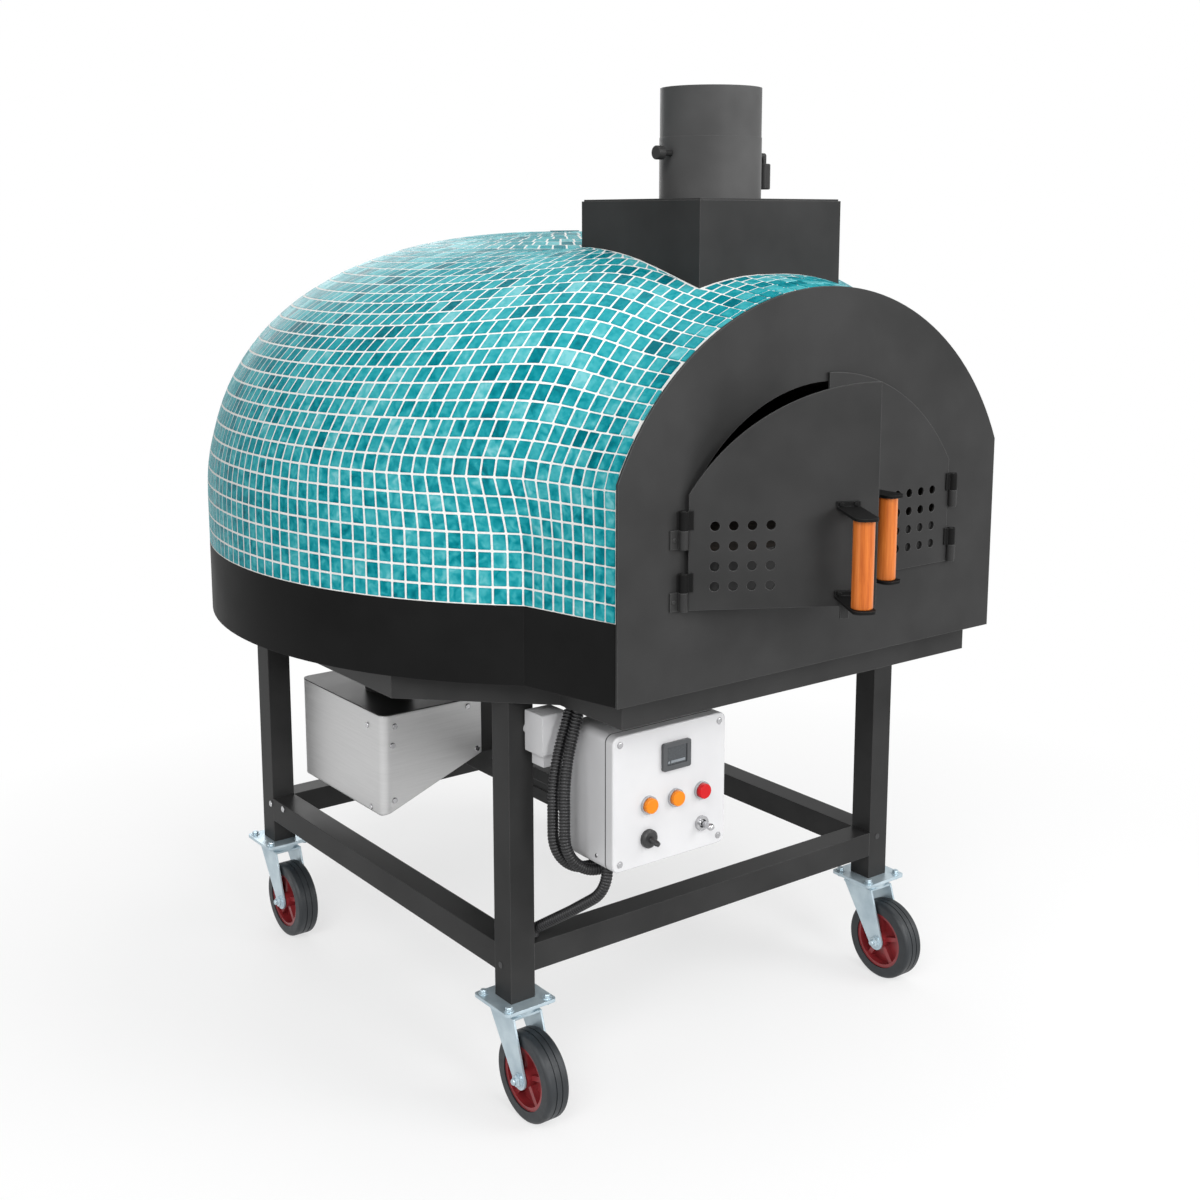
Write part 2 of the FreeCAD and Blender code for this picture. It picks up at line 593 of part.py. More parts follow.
parts["hood"] = hood.cut(rim).fuse(lid).removeSplitter().cut([room, outside, flue_bore])
flue = joined([rod(FLUE_R, V(0, HOOD_MID, HOOD_Z), V(0, HOOD_MID, FLUE_Z - SPIGOT_L)),
               rod(SPIGOT_R, V(0, HOOD_MID, FLUE_Z - SPIGOT_L), V(0, HOOD_MID, FLUE_Z))])
spindle_hole = rod(SPINDLE_R + RUN_FIT, V(-HOOD_W, HOOD_MID, DAMPER_Z), V(HOOD_W, HOOD_MID, DAMPER_Z))
parts["flue_collar"] = flue.cut([flue_bore, spindle_hole])

damper_r = FLUE_BORE - DAMPER_GAP
disc = rod(damper_r, V(0, HOOD_MID - DAMPER_T / 2, DAMPER_Z), V(0, HOOD_MID + DAMPER_T / 2, DAMPER_Z))
weight_x = FLUE_R + WEIGHT_REACH
knob_x = -FLUE_R - KNOB_REACH
bar = rod(SPINDLE_R, V(knob_x, HOOD_MID, DAMPER_Z), V(weight_x, HOOD_MID, DAMPER_Z))
parts["damper_plate"] = disc
elbow = Part.makeSphere(SPINDLE_R, V(weight_x, HOOD_MID, DAMPER_Z))
weight_top = DAMPER_Z - WEIGHT_DROP
drop = rod(SPINDLE_R, V(weight_x, HOOD_MID, DAMPER_Z), V(weight_x, HOOD_MID, weight_top))
weight = rod(WEIGHT_R, V(weight_x, HOOD_MID, weight_top - WEIGHT_L), V(weight_x, HOOD_MID, weight_top))
weight = weight.makeFillet(WEIGHT_R / 5, [e for e in weight.Edges if len(e.Vertexes) == 1])
knob = rod(KNOB_R, V(knob_x - KNOB_L / 2, HOOD_MID, DAMPER_Z), V(knob_x + KNOB_L / 2, HOOD_MID, DAMPER_Z))
knob = knob.makeFillet(KNOB_R / 6, [e for e in knob.Edges if len(e.Vertexes) == 1])
parts["damper_spindle"] = joined([bar, elbow, drop, weight, knob]).cut(disc)

# Hinges: lower knuckles with pin and leaf on the plate, upper knuckles on the doors
KNUCKLE = (HINGE_L - KNUCKLE_GAP) / 2
hinge_feet = [DOOR_Z + HINGE_LOW + i * HINGE_STEP for i in range(2)]
leaves = []
for s in (-1, 1):
    for z in hinge_feet:
        pivot = V(s * HINGE_X, HINGE_Y, z)
        low = rod(HINGE_R, pivot, pivot + V(0, 0, KNUCKLE))
        pin = rod(HINGE_PIN_R, pivot, pivot + V(0, 0, HINGE_L))
        leaf = box(min(s * HINGE_X, s * (HINGE_X + LEAF_L)), max(s * HINGE_X, s * (HINGE_X + LEAF_L)),
                   -LEAF_T, 0, z, z + KNUCKLE)
        leaves.append(joined([low, pin, leaf]))
parts["hinge_leaves"] = Part.makeCompound(leaves)

# Doors, built shut; the left one is then swung open
DOOR_FRONT = -DOOR_GAP - DOOR_T
GRIP_Z = DOOR_Z + GRIP_LIFT


def door_panel(s):
    """Quarter-arch plate with a grid of round vents near its hinge edge."""
    free = MEET_GAP / 2
    high = DOOR_Z + math.sqrt(DOOR_R ** 2 - free ** 2)
    low = DOOR_Z + math.sqrt(DOOR_R ** 2 - DOOR_HALF ** 2)
    mid = (math.asin(free / DOOR_R) + math.asin(DOOR_HALF / DOOR_R)) / 2
    y = -DOOR_GAP
    a, b = V(s * free, y, DOOR_Z), V(s * DOOR_HALF, y, DOOR_Z)
    c, d = V(s * DOOR_HALF, y, low), V(s * free, y, high)
    top = V(s * DOOR_R * math.sin(mid), y, DOOR_Z + DOOR_R * math.cos(mid))
    wire = Part.Wire([line(a, b), line(b, c), Part.Arc(c, top, d).toShape(), line(d, a)])
    panel = Part.Face(wire).extrude(V(0, -DOOR_T, 0))
    vents = []
    for i in range(VENT_ROWS):
        for j in range(VENT_ROWS):
            x = s * (DOOR_HALF - VENT_SIDE - i * VENT_PITCH_X)
            z = DOOR_Z + VENT_FOOT + j * VENT_PITCH_Z
            vents.append(rod(VENT_R, V(x, 0, z), V(x, -HINGE_X, z)))
    return panel.cut(vents)


def door_hinges(s):
    """Upper knuckles with their leaves, lying on the door's face."""
    pieces = []
    for z in hinge_feet:
        foot = z + KNUCKLE + KNUCKLE_GAP
        pivot = V(s * HINGE_X, HINGE_Y, foot)
        barrel = rod(HINGE_R, pivot, pivot + V(0, 0, KNUCKLE))
        ends = sorted((s * HINGE_X, s * (HINGE_X - DOOR_LEAF_L)))
        leaf = box(ends[0], ends[1], DOOR_FRONT - LEAF_T, DOOR_FRONT, foot, foot + KNUCKLE)
        bore = rod(HINGE_PIN_R + RUN_FIT, pivot, pivot + V(0, 0, HINGE_L))
        pieces.append(joined([barrel, leaf]).cut(bore))
    return Part.makeCompound(pieces)


def handle_brackets(s):
    """Two flat arms with turned-up tabs, joined by the rod through the grip."""
    x = s * (MEET_GAP / 2 + GRIP_EDGE)
    nose = DOOR_FRONT - GRIP_REACH - BRACKET_NOSE
    pieces = [rod(GRIP_ROD_R, V(x, DOOR_FRONT - GRIP_REACH, GRIP_Z - BRACKET_T),
                  V(x, DOOR_FRONT - GRIP_REACH, GRIP_Z + GRIP_L + BRACKET_T))]
    for z in (GRIP_Z - BRACKET_T, GRIP_Z + GRIP_L):
        arm = box(x - BRACKET_W / 2, x + BRACKET_W / 2, nose, DOOR_FRONT, z, z + BRACKET_T)
        arm = rounded(arm, BRACKET_W / 3, lambda e: runs_along(e, Z) and e.Vertexes[0].Y < nose + 1)
        tab = box(x - BRACKET_W / 2, x + BRACKET_W / 2, DOOR_FRONT - BRACKET_T, DOOR_FRONT,
                  z, z + TAB_H)
        pieces += [arm, tab]
    return joined(pieces)


def grip(s):
    """Turned wooden grip with eased ends, bored for its rod."""
    x, y = s * (MEET_GAP / 2 + GRIP_EDGE), DOOR_FRONT - GRIP_REACH
    wood = rod(GRIP_R, V(x, y, GRIP_Z), V(x, y, GRIP_Z + GRIP_L))
    wood = wood.makeFillet(GRIP_R / 8, [e for e in wood.Edges if len(e.Vertexes) == 1])
    return wood.cut(rod(GRIP_ROD_R + RUN_FIT, V(x, y, GRIP_Z - 1), V(x, y, GRIP_Z + GRIP_L + 1)))


catch_x = -(MEET_GAP / 2 + GRIP_EDGE) - BRACKET_W / 4
catch = box(catch_x, catch_x + CATCH_W, DOOR_FRONT - DOOR_T, DOOR_FRONT, DOOR_Z - CATCH_H, DOOR_Z + TAB_H / 2)
for side, s in (("left", -1), ("right", 1)):
    door = {"door": door_panel(s), "hinges": door_hinges(s), "brackets": handle_brackets(s), "grip": grip(s)}
    if s < 0:
        door["door"] = joined([door["door"], catch])
    for piece, shape in door.items():
        if s < 0:
            shape.rotate(V(-HINGE_X, HINGE_Y, 0), Z, -AJAR)
        parts[side + "_" + piece] = shape

# Control box: cast case with a hollow lid, hung from the tray
LID_BACK = PANEL_Y + LID_D
PANEL_RIGHT = PANEL_LEFT + PANEL_W


def case(y0, y1, inset):
    block = box(PANEL_LEFT + inset, PANEL_RIGHT - inset, y0, y1, PANEL_FOOT + inset, PANEL_TOP - inset)
    return rounded(block, BOX_R - inset, lambda e: runs_along(e, Y))


shell = case(LID_BACK, BOX_BACK, 0).cut(case(LID_BACK, BOX_BACK - BOX_WALL, BOX_WALL))
hangers = []
for x in (PANEL_LEFT + PANEL_W / 4, PANEL_RIGHT - PANEL_W / 4):
    hangers.append(box(x - HANGER_W / 2, x + HANGER_W / 2, LID_BACK + HANGER_W, LID_BACK + HANGER_W + HANGER_T,
                       PANEL_TOP - BOX_WALL, LEG_TOP))
parts["control_box"] = joined([shell] + hangers)

button_z = PANEL_TOP - BUTTON_DOWN
switch_z = PANEL_TOP - SWITCH_DOWN
button_x = [PANEL_MID + BUTTON_SHIFT + (i - 1) * BUTTON_PITCH for i in range(3)]
selector_x, toggle_x = button_x[0], button_x[2]
lid_block = case(PANEL_Y, LID_BACK, 0)
lid_block = rounded(lid_block, BOX_WALL - 1, lambda e: abs(e.CenterOfMass.y - PANEL_Y) < 1e-6)
lid_block = lid_block.cut(case(PANEL_Y + BOX_WALL, LID_BACK + 1, BOX_WALL))
holes = [rod(BUTTON_R + RUN_FIT, V(x, 0, button_z), V(x, LID_BACK, button_z)) for x in button_x]
holes.append(rod(SELECTOR_SHAFT_R + RUN_FIT, V(selector_x, 0, switch_z), V(selector_x, LID_BACK, switch_z)))
holes.append(rod(TOGGLE_HOLE_R, V(toggle_x, 0, switch_z), V(toggle_x, LID_BACK, switch_z)))
parts["control_lid"] = lid_block.cut(holes)

meter_z = PANEL_TOP - METER_UP
meter_x = button_x[1]
half, high = METER_W / 2, METER_H / 2
meter = box(meter_x - half, meter_x + half, PANEL_Y - METER_PROUD, PANEL_Y, meter_z - high, meter_z + high)
meter = rounded(meter, METER_R, lambda e: runs_along(e, Y))
window = box(meter_x - 0.72 * half, meter_x + 0.72 * half,
             PANEL_Y - METER_PROUD - 1, PANEL_Y - METER_PROUD + WINDOW_SINK,
             meter_z - 0.62 * high, meter_z + 0.7 * high)
parts["controller"] = meter.cut(window)

rings = [rod(BEZEL_R, V(x, PANEL_Y - BEZEL_PROUD, button_z), V(x, PANEL_Y, button_z)).cut(holes[i])
         for i, x in enumerate(button_x)]
toggle_ring = rod(TOGGLE_RING_R, V(toggle_x, PANEL_Y - BEZEL_PROUD, switch_z), V(toggle_x, PANEL_Y, switch_z))
parts["button_bezels"] = Part.makeCompound(rings + [toggle_ring.cut(holes[4])])

for name, x in zip(("amber_button_a", "amber_button_b", "red_button"), button_x):
    cap = rod(BUTTON_R, V(x, PANEL_Y - BUTTON_PROUD, button_z), V(x, LID_BACK - BUTTON_TRAVEL - 1, button_z))
    parts[name] = cap.makeFillet(BUTTON_EDGE, [e for e in cap.Edges
                                               if len(e.Vertexes) == 1 and e.CenterOfMass.y < PANEL_Y])

dial = rod(SELECTOR_R, V(selector_x, PANEL_Y - SELECTOR_GAP, switch_z),
           V(selector_x, PANEL_Y - SELECTOR_DIAL, switch_z))
half = SELECTOR_BLADE / 2
high = SELECTOR_R * 0.85
blade = box(selector_x - half, selector_x + half, PANEL_Y - SELECTOR_PROUD, PANEL_Y - SELECTOR_DIAL + 1,
            switch_z - high, switch_z + high)
blade = rounded(blade, SELECTOR_BLADE * 0.4, lambda e: runs_along(e, Y))
stem = rod(SELECTOR_SHAFT_R, V(selector_x, PANEL_Y - SELECTOR_GAP, switch_z),
           V(selector_x, LID_BACK - BOX_WALL, switch_z))
parts["selector"] = joined([dial, blade, stem])

pivot = V(toggle_x, PANEL_Y, switch_z)
bat = Part.makeCone(TOGGLE_ROOT_R, TOGGLE_TIP_R, TOGGLE_L, pivot, -Y)
tip = Part.makeSphere(TOGGLE_TIP_R, pivot - Y * TOGGLE_L)
parts["toggle"] = joined([bat, tip, Part.makeSphere(TOGGLE_HOLE_R - BALL_GAP, pivot)])

# Junction box against the front left leg, with a stepped foot and a cable gland
jx1 = PANEL_LEFT - JUNCTION_GAP
jx0 = jx1 - JUNCTION_W
jy1 = FRONT_Y - GLAND_R / 2
jy0 = jy1 - JUNCTION_D
jz1 = LEG_TOP - JUNCTION_DROP
body = rounded(box(jx0, jx1, jy0, jy1, jz1 - JUNCTION_H, jz1), JUNCTION_R, lambda e: runs_along(e, X))
foot = box(jx0 + JUNCTION_FOOT, jx1 - JUNCTION_FOOT, jy0 + JUNCTION_FOOT, jy1 - 2 * JUNCTION_FOOT,
           jz1 - JUNCTION_H - JUNCTION_STEP, jz1 - JUNCTION_H)
gland_x = jx0 + GLAND_R
gland = rod(GLAND_R, V(gland_x, jy1, jz1 - JUNCTION_H / 2), V(gland_x, FRONT_Y, jz1 - JUNCTION_H / 2))
parts["junction_box"] = joined([body, foot, gland])


def ribbed(stations):
    """Corrugated hose: a ruled skin through rings of two sizes, with a smooth bore.

    stations is a list of (point, tangent, sideways) along the route at an even step.
    """
    rings, bore = [], []
    sizes = (HOSE_VALLEY, HOSE_R, HOSE_R, HOSE_VALLEY)
    last = len(stations) - 1
    for i, (at, along, side) in enumerate(stations):
        size = HOSE_VALLEY if i in (0, last) else sizes[i % 4]
        rings.append(ring(at, along, side, size))
        if i % 4 == 0 or i == last:
            bore.append(ring(at, along, side, HOSE_BORE))
    return Part.makeLoft(rings, True, True).cut(Part.makeLoft(bore, True, True))


def ring(at, along, side, radius):
    circle = Part.Circle(at, along, radius)
    circle.XAxis = side
    return Part.Wire([circle.toShape()])


def route(start, legs, side):
    """Even stations along straight runs and arcs in one upright plane.

    legs holds ("run", length) and ("turn", radius, degrees); a positive turn swings from
    down towards the plane's outward direction.
    """
    outward = side.cross(-Z)
    point, angle, path = V(start), 0.0, []
    step = HOSE_RIB / 4
    for leg in legs:
        length = leg[1] if leg[0] == "run" else leg[1] * math.radians(abs(leg[2]))
        count = max(1, round(length / step))
        for _ in range(count):
            path.append((V(point), -Z * math.cos(angle) + outward * math.sin(angle), side))
            if leg[0] == "run":
                point = point + path[-1][1] * (length / count)
            else:
                swing = math.radians(leg[2]) / count
                chord = 2 * leg[1] * math.sin(abs(swing) / 2)
                mid = angle + swing / 2
                point = point + (-Z * math.cos(mid) + outward * math.sin(mid)) * chord
                angle += swing
    path.append((V(point), -Z * math.cos(angle) + outward * math.sin(angle), side))
    return path


# Two conduits from the tray down and up into the box, one from the box to the front rail
lean = math.radians(HOSE_LEAN)
sway_bend = HOSE_SWAY / (2 * (1 - math.cos(lean)))
turn_z = PANEL_FOOT - HOSE_END - HOSE_EXIT + HOSE_BEND
drop_length = LEG_TOP - 2 * HOSE_R - 2 * sway_bend * math.sin(lean) - turn_z
shift = HOSE_PORT_X - HOSE_X + HOSE_SWAY - HOSE_BEND - HOSE_EXIT
for i, name in enumerate(("conduit_a", "conduit_b")):
    legs = [("run", 2 * HOSE_R), ("turn", sway_bend, -HOSE_LEAN), ("turn", sway_bend, HOSE_LEAN),
            ("run", drop_length), ("turn", HOSE_BEND, 90), ("run", shift),
            ("turn", HOSE_EXIT, 90), ("run", HOSE_END)]
    parts[name] = ribbed(route(V(HOSE_X, HOSE_Y + i * HOSE_STEP, LEG_TOP), legs, -Y))
tail_start = V(TAIL_PORT[0], TAIL_PORT[1], PANEL_FOOT)
tail_end = V(TAIL_FOOT[0], TAIL_FOOT[1], RAIL_Z + TUBE)
flat = V(tail_end.x - tail_start.x, tail_end.y - tail_start.y, 0)
lean = math.radians(TAIL_LEAN)
bends = TAIL_BEND + TAIL_EXIT
middle_run = (flat.Length - bends * (1 - math.cos(lean))) / math.sin(lean)
end_run = (tail_start.z - tail_end.z - bends * math.sin(lean) - middle_run * math.cos(lean)) / 2
outward = V(flat).normalize()
legs = [("run", end_run), ("turn", TAIL_BEND, TAIL_LEAN), ("run", middle_run),
        ("turn", TAIL_EXIT, -TAIL_LEAN), ("run", end_run)]
parts["conduit_c"] = ribbed(route(tail_start, legs, Z.cross(outward) * -1))
print("conduit bend radii", round(sway_bend, 1), HOSE_BEND, HOSE_EXIT, TAIL_BEND, TAIL_EXIT, "runs", round(drop_length, 1),
      round(shift, 1), round(middle_run, 1), round(end_run, 1))

# Centre the oven on the origin and write every piece
everything = Part.makeCompound(list(parts.values())).optimalBoundingBox(False)
middle = V(0, -(everything.YMin + everything.YMax) / 2, 0)
print("moved back by", round(middle.y, 4), "overall", round(everything.XLength, 2),
      round(everything.YLength, 2), round(everything.ZLength, 2), "lowest", round(everything.ZMin, 4))
os.makedirs("parts", exist_ok=True)
for name, shape in parts.items():
    shape.translate(middle)
    shape.exportStep("parts/" + name + ".step")
print(len(parts), "pieces")
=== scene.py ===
"""Looks of a mobile pizza oven: mosaic dome, black steel, wooden grips, casters and controls.

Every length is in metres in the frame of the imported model: +Z up, the doors face -Y.
"""
import json
import math

import bpy
import numpy as np
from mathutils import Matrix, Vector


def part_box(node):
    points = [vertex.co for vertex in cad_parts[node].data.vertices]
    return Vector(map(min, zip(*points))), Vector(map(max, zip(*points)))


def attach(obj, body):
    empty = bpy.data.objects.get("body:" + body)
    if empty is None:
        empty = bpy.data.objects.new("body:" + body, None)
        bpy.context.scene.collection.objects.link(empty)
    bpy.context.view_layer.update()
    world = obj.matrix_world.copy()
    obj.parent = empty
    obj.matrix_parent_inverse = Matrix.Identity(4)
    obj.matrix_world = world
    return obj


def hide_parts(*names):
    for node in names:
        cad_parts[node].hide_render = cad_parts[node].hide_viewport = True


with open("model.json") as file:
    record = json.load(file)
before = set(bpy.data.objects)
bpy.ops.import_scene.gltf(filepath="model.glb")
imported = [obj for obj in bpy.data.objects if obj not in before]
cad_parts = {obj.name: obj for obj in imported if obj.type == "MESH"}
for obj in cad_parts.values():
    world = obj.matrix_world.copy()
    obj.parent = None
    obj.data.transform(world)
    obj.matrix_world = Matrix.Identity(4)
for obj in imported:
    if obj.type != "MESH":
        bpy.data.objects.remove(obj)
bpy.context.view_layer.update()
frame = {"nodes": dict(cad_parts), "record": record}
NODES = frame["nodes"]
CORNERS = ("fl", "fr", "rl", "rr")

# The tiled body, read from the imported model
SHELL_LOW, SHELL_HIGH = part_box("tiled_shell")
PLATE_LOW, PLATE_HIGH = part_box("front_plate")
HOOD_LOW, HOOD_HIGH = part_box("hood")
FACE_Y = PLATE_LOW.y
DRUM_R = SHELL_HIGH.x
DRUM_Y = SHELL_HIGH.y - DRUM_R
BAND_TOP = SHELL_LOW.z
WALL_H = 0.088           # upright wall of the drum above the band
SPRING_Z = BAND_TOP + WALL_H
DOME_RISE = SHELL_HIGH.z - SPRING_Z
CROWN_FULL, WALL_FULL = 2.4, 2.3   # powers of the drum's section, along its radius and its height
PLATE_LIP = 0.003        # plate's edge proud of the tiles
PLATE_SIDE = 0.353       # plate's straight sides, below its arch
PLATE_KINK = PLATE_LOW.z + PLATE_SIDE
NECK_HALF = PLATE_HIGH.x - PLATE_LIP
NECK_CROWN = PLATE_HIGH.z - PLATE_LIP
NECK_FLARE, NECK_RISE = 0.236, 0.14   # widening of each side and rise of the crown, per metre of depth
NECK_START, NECK_END = PLATE_HIGH.y - FACE_Y, 0.46   # depths behind the plate's face
HEART_DEPTH, HEART_DROP = 0.5, 0.02   # point inside the oven, behind the plate and below the dome's spring

# The mosaic
TILE_W, GROUT, TILE_DEPTH = 0.0252, 0.0028, 0.0018
TILE_EDGE = 0.0008       # rounding of a tile's face at its edge
TILE_RINGS = (           # inset, corner cut and height of a tile's three rings
    (GROUT / 2, 0.0014, -TILE_DEPTH), (GROUT / 2, 0.0014, -0.0006), (GROUT / 2 + TILE_EDGE, 0.0011, 0.0))
TILE_TILT = 0.00016      # usual unevenness across a tile
SMALLEST_TILE = 2.4 * GROUT
GROUT_SUNK, SUNK_BESIDE_PLATE = 0.0004, 0.0011
NECK_TILES = 9           # across the side of the neck
ALIGNED_COURSES = 10     # upright columns up to here, staggered above
COURSES = 26             # from the band to the ridge of the neck
EDGE_LINE = 0.012        # white line along the front plate, in stations
NECK_STEPS, DRUM_STEPS = 60, 180   # points along a course, on one side of the neck and of the drum
CREASE, FILLET = 0.003, 0.20   # easing between neck and drum, at the band and at its widest
FILLET_OPENS = (BAND_TOP + 0.10, PLATE_KINK + 0.16)   # heights between which the easing widens
FILLET_DEPTHS = (0.02, 0.20)   # depths behind the plate, likewise
FILLET_CLOSES, FILLET_LOSS = (1.40, 1.50), 0.8   # heights between which it narrows again, and by what share
DOME_SAMPLES, NECK_SAMPLES, RING_SAMPLES = 600, 800, 400
RAY_SHARES, HALVINGS = (0.5, 1.6), 34   # search for the body along a ray
EASE, EASE_ROUNDS, ACROSS_EVERY = 0.25, 260, 40   # easing along the courses, and across them now and then
ROUND_UP, ROUND_ROUNDS = 0.03, 240   # evening of distances from course to course
TONE, TONE_RANGE = 0.50, (0.04, 0.98)   # colour of the usual tile, and of the deepest and the palest
TONE_LOW, TONE_MORE = 0.09, 0.13   # its scatter among the lower tiles, and what the upper ones add
HOOD_GAP = 0.003         # grout between the tiles and the hood
random = np.random.default_rng(11)

# The hoses
HOSE_BOW, HOSE_TURN, HOSE_EXIT = 0.36, 0.078, 0.018   # bend radii
BEND_STEP = math.radians(11.5)
HOSE_GAP = 0.001         # clear of the control box
BOW_DROP = 0.102         # tray to the lowest of the bow
TAIL_DROP, TAIL_SHARE = 0.107, 0.516   # where the tail hangs, below its top and along its span
TAIL_OUT, TAIL_IN = 0.048, 0.014   # straight lengths out of the box and into the rail
HOSE_SIDES = 20
RIB = np.array([0.68, 0.94, 1.0, 0.94])   # radius over one rib
RIB_PITCH = 0.0056

# Small fittings, each head as radius, height and number of sides
WASHER, HEX_HEAD = (0.0090, 0.0016, 16), (0.0066, 0.0060, 6)
AXLE_WASHER, AXLE_NUT, AXLE_TIP = (0.0130, 0.0018, 16), (0.0114, 0.0064, 6), (0.0060, 0.0060, 16)
TAB_BOLT, LEAF_SCREW = (0.0043, 0.0034, 6), (0.0038, 0.0016, 16)
LID_RING, LID_SCREW = (0.0062, 0.0007, 16), (0.0046, 0.0012, 16)
RIVET, FRAME_BOLT = (0.0060, 0.0026, 16), (0.0068, 0.0030, 16)
BOX_SCREW, FRAME_PLUG = (0.0036, 0.0014, 16), (0.0060, 0.0010, 16)
SELECTOR_DISC = (0.0160, 0.0090, 40)
LEVER_PROFILE = ((0.0056, 0), (0.0050, 0.014), (0.0040, 0.0185), (0.0020, 0.0195))   # radius and height
LEVER_FOOT, LEVER_WAY, LEVER_SIDES = 0.0085, (0.10, -1, -0.22), 20
SCREEN_SUNK = 0.002      # screen behind the controller's front
SCREEN_LOW, SCREEN_HIGH = (-0.0213, -0.0004, -0.0146), (0.0213, 0.0003, 0.0165)   # corners from its middle
SCREEN_BARS = (((-0.0125, -0.0007, -0.0118), (0.0180, -0.0003, -0.0074)),
               ((-0.0188, -0.0007, -0.0118), (-0.0150, -0.0003, -0.0080)))
SEAT = 0.0004            # depth of a head's foot in what it sits on
ON_WASHER, ON_AXLE_WASHER, ON_AXLE_NUT, ON_RING = 0.0015, 0.0016, 0.0078, 0.0005   # seats within a stack
TAB_T, LEAF_T = 0.005, 0.003   # sheet under the tab bolts and the leaf screws
TAB_BOLT_X, TAB_BOLT_LOW, TAB_BOLT_HIGH = 0.012, 0.009, 0.004   # from the brackets' middle, foot and top
LEAF_SCREW_X, LEAF_SCREW_Z = 0.0065, (0.015, 0.115)   # from the edge and the foot of the leaves
LID_INSET = 0.0145       # lid's screws from its edges
# painted shade: a thin black band for the shaded parting line between control box and lid, as width, height
# proud and steps round it
PARTING_SHADE_W, PARTING_SHADE_PROUD, PARTING_SHADE_STEPS = 0.0022, 0.0002, 48
PLATE_BOLT = 0.040       # caster plate's bolts from its middle
CHEEK = 0.0305           # fork's outer faces from the wheel's middle
LID_R = 0.014            # corners of the control box

# The studio
FLOOR_R, FLOOR_SIDES = 2.1, 96
FLOOR_FADE, FLOOR_RIM = 1.0, 0.05   # where the floor starts to fade into white, and its white rim
FLOOR_GREY, FLOOR_GLOW = (0.34, 0.34, 0.34), 0.62
BRIGHT_SIDE = (0.66, -0.72, 0.2)   # where the room is brightest
ROOM_DIM, ROOM_BRIGHT = 0.05, 0.72


# Meshes

def piece(name, points, faces, paint, body, smooth=False, replaces=()):
    """A mesh object at the origin with one material, riding on a body."""
    mesh = bpy.data.meshes.new(name)
    mesh.from_pydata(np.asarray(points, float).tolist(), [], [list(map(int, f)) for f in faces])
    mesh.polygons.foreach_set("use_smooth", np.full(len(mesh.polygons), smooth))
    mesh.materials.append(paint)
    obj = bpy.data.objects.new(name, mesh)
    bpy.context.scene.collection.objects.link(obj)
    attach(obj, body)
    if replaces:
        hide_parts(*replaces)
    return obj


def grid_faces(rows, columns, wrap_rows=False, wrap_columns=False):
    """Quads of a grid of points stored row by row; a wrapped direction closes on itself."""
    i = np.arange(rows if wrap_rows else rows - 1)
    j = np.arange(columns if wrap_columns else columns - 1)
    i, j = np.meshgrid(i, j, indexing="ij")
    i2, j2 = (i + 1) % rows, (j + 1) % columns
    quads = i * columns + j, i * columns + j2, i2 * columns + j2, i2 * columns + j
    return np.stack(quads, -1).reshape(-1, 4)


def unit(v):
    """Vectors at length one."""
    return v / np.maximum(np.linalg.norm(v, axis=-1, keepdims=True), 1e-12)


def turned(profile, centre, axis, count):
    """Surface of revolution: each profile point (radius, height) goes round the axis at its height.

    Returns points ring by ring and the quads between rings.
    """
    axis = unit(np.asarray(axis, float))
    side = unit(np.cross(axis, (0.31, 0.53, 0.79)))
    other = np.cross(axis, side)
    turn = np.linspace(0, 2 * math.pi, count, endpoint=False)
    around = np.outer(np.cos(turn), side) + np.outer(np.sin(turn), other)
    profile = np.asarray(profile, float)
    points = np.asarray(centre, float) + profile[:, None, 1:2] * axis + profile[:, None, 0:1] * around[None]
    return points.reshape(-1, 3), grid_faces(len(profile), count, wrap_columns=True)


def gathered(shapes):
    """Several (points, faces) as one pair."""
    points, faces, start = [], [], 0
    for p, f in shapes:
        points.append(p)
        faces += [[start + k for k in q] for q in f]
        start += len(p)
    return np.concatenate(points), faces


# Materials

def finish(name, colour, rough, metal=0.0, **sockets):
    """A named material with its plain values on the shader's own sockets."""
    mat = bpy.data.materials.new(name)
    mat.use_nodes = True
    shader = mat.node_tree.nodes["Principled BSDF"]
    shader.inputs["Base Color"].default_value = (*colour, 1)
    shader.inputs["Roughness"].default_value = rough
    shader.inputs["Metallic"].default_value = metal
    for socket, value in sockets.items():
        shader.inputs[socket.replace("_", " ")].default_value = value
    return mat


def node(mat, kind, links=None, **values):
    """Adds a node, links {input: output socket} and sets attributes or input values by name."""
    made = mat.node_tree.nodes.new(kind)
    for key, value in values.items():
        if hasattr(made, key):
            setattr(made, key, value)
        else:
            made.inputs[key.replace("_", " ")].default_value = value
    for key, source in (links or {}).items():
        mat.node_tree.links.new(source, made.inputs[key])
    return made


def shade(mat, socket, source):
    """Links a value to one of the shader's sockets."""
    mat.node_tree.links.new(source, mat.node_tree.nodes["Principled BSDF"].inputs[socket])


def coordinates(mat, stretch=(1, 1, 1)):
    """Object coordinates, stretched for grain and brushing."""
    here = node(mat, "ShaderNodeTexCoord").outputs["Object"]
    return node(mat, "ShaderNodeMapping", {"Vector": here}, Scale=stretch).outputs["Vector"]


def noise(mat, scale, detail=3.0, where=None, rough=0.55):
    """Cloudy value from 0 to 1, with features about 1 / scale metres wide."""
    where = where or coordinates(mat)
    return node(mat, "ShaderNodeTexNoise", {"Vector": where}, Scale=scale, Detail=detail,
                Roughness=rough).outputs["Fac"]


def ramp(mat, source, stops):
    """Colours by position along a 0 to 1 value."""
    made = node(mat, "ShaderNodeValToRGB", {"Fac": source})
    bar = made.color_ramp.elements
    while len(bar) < len(stops):
        bar.new(0.5)
    for element, (place, colour) in zip(bar, stops):
        element.position = place
        element.color = (*colour, 1)
    return made.outputs["Color"]


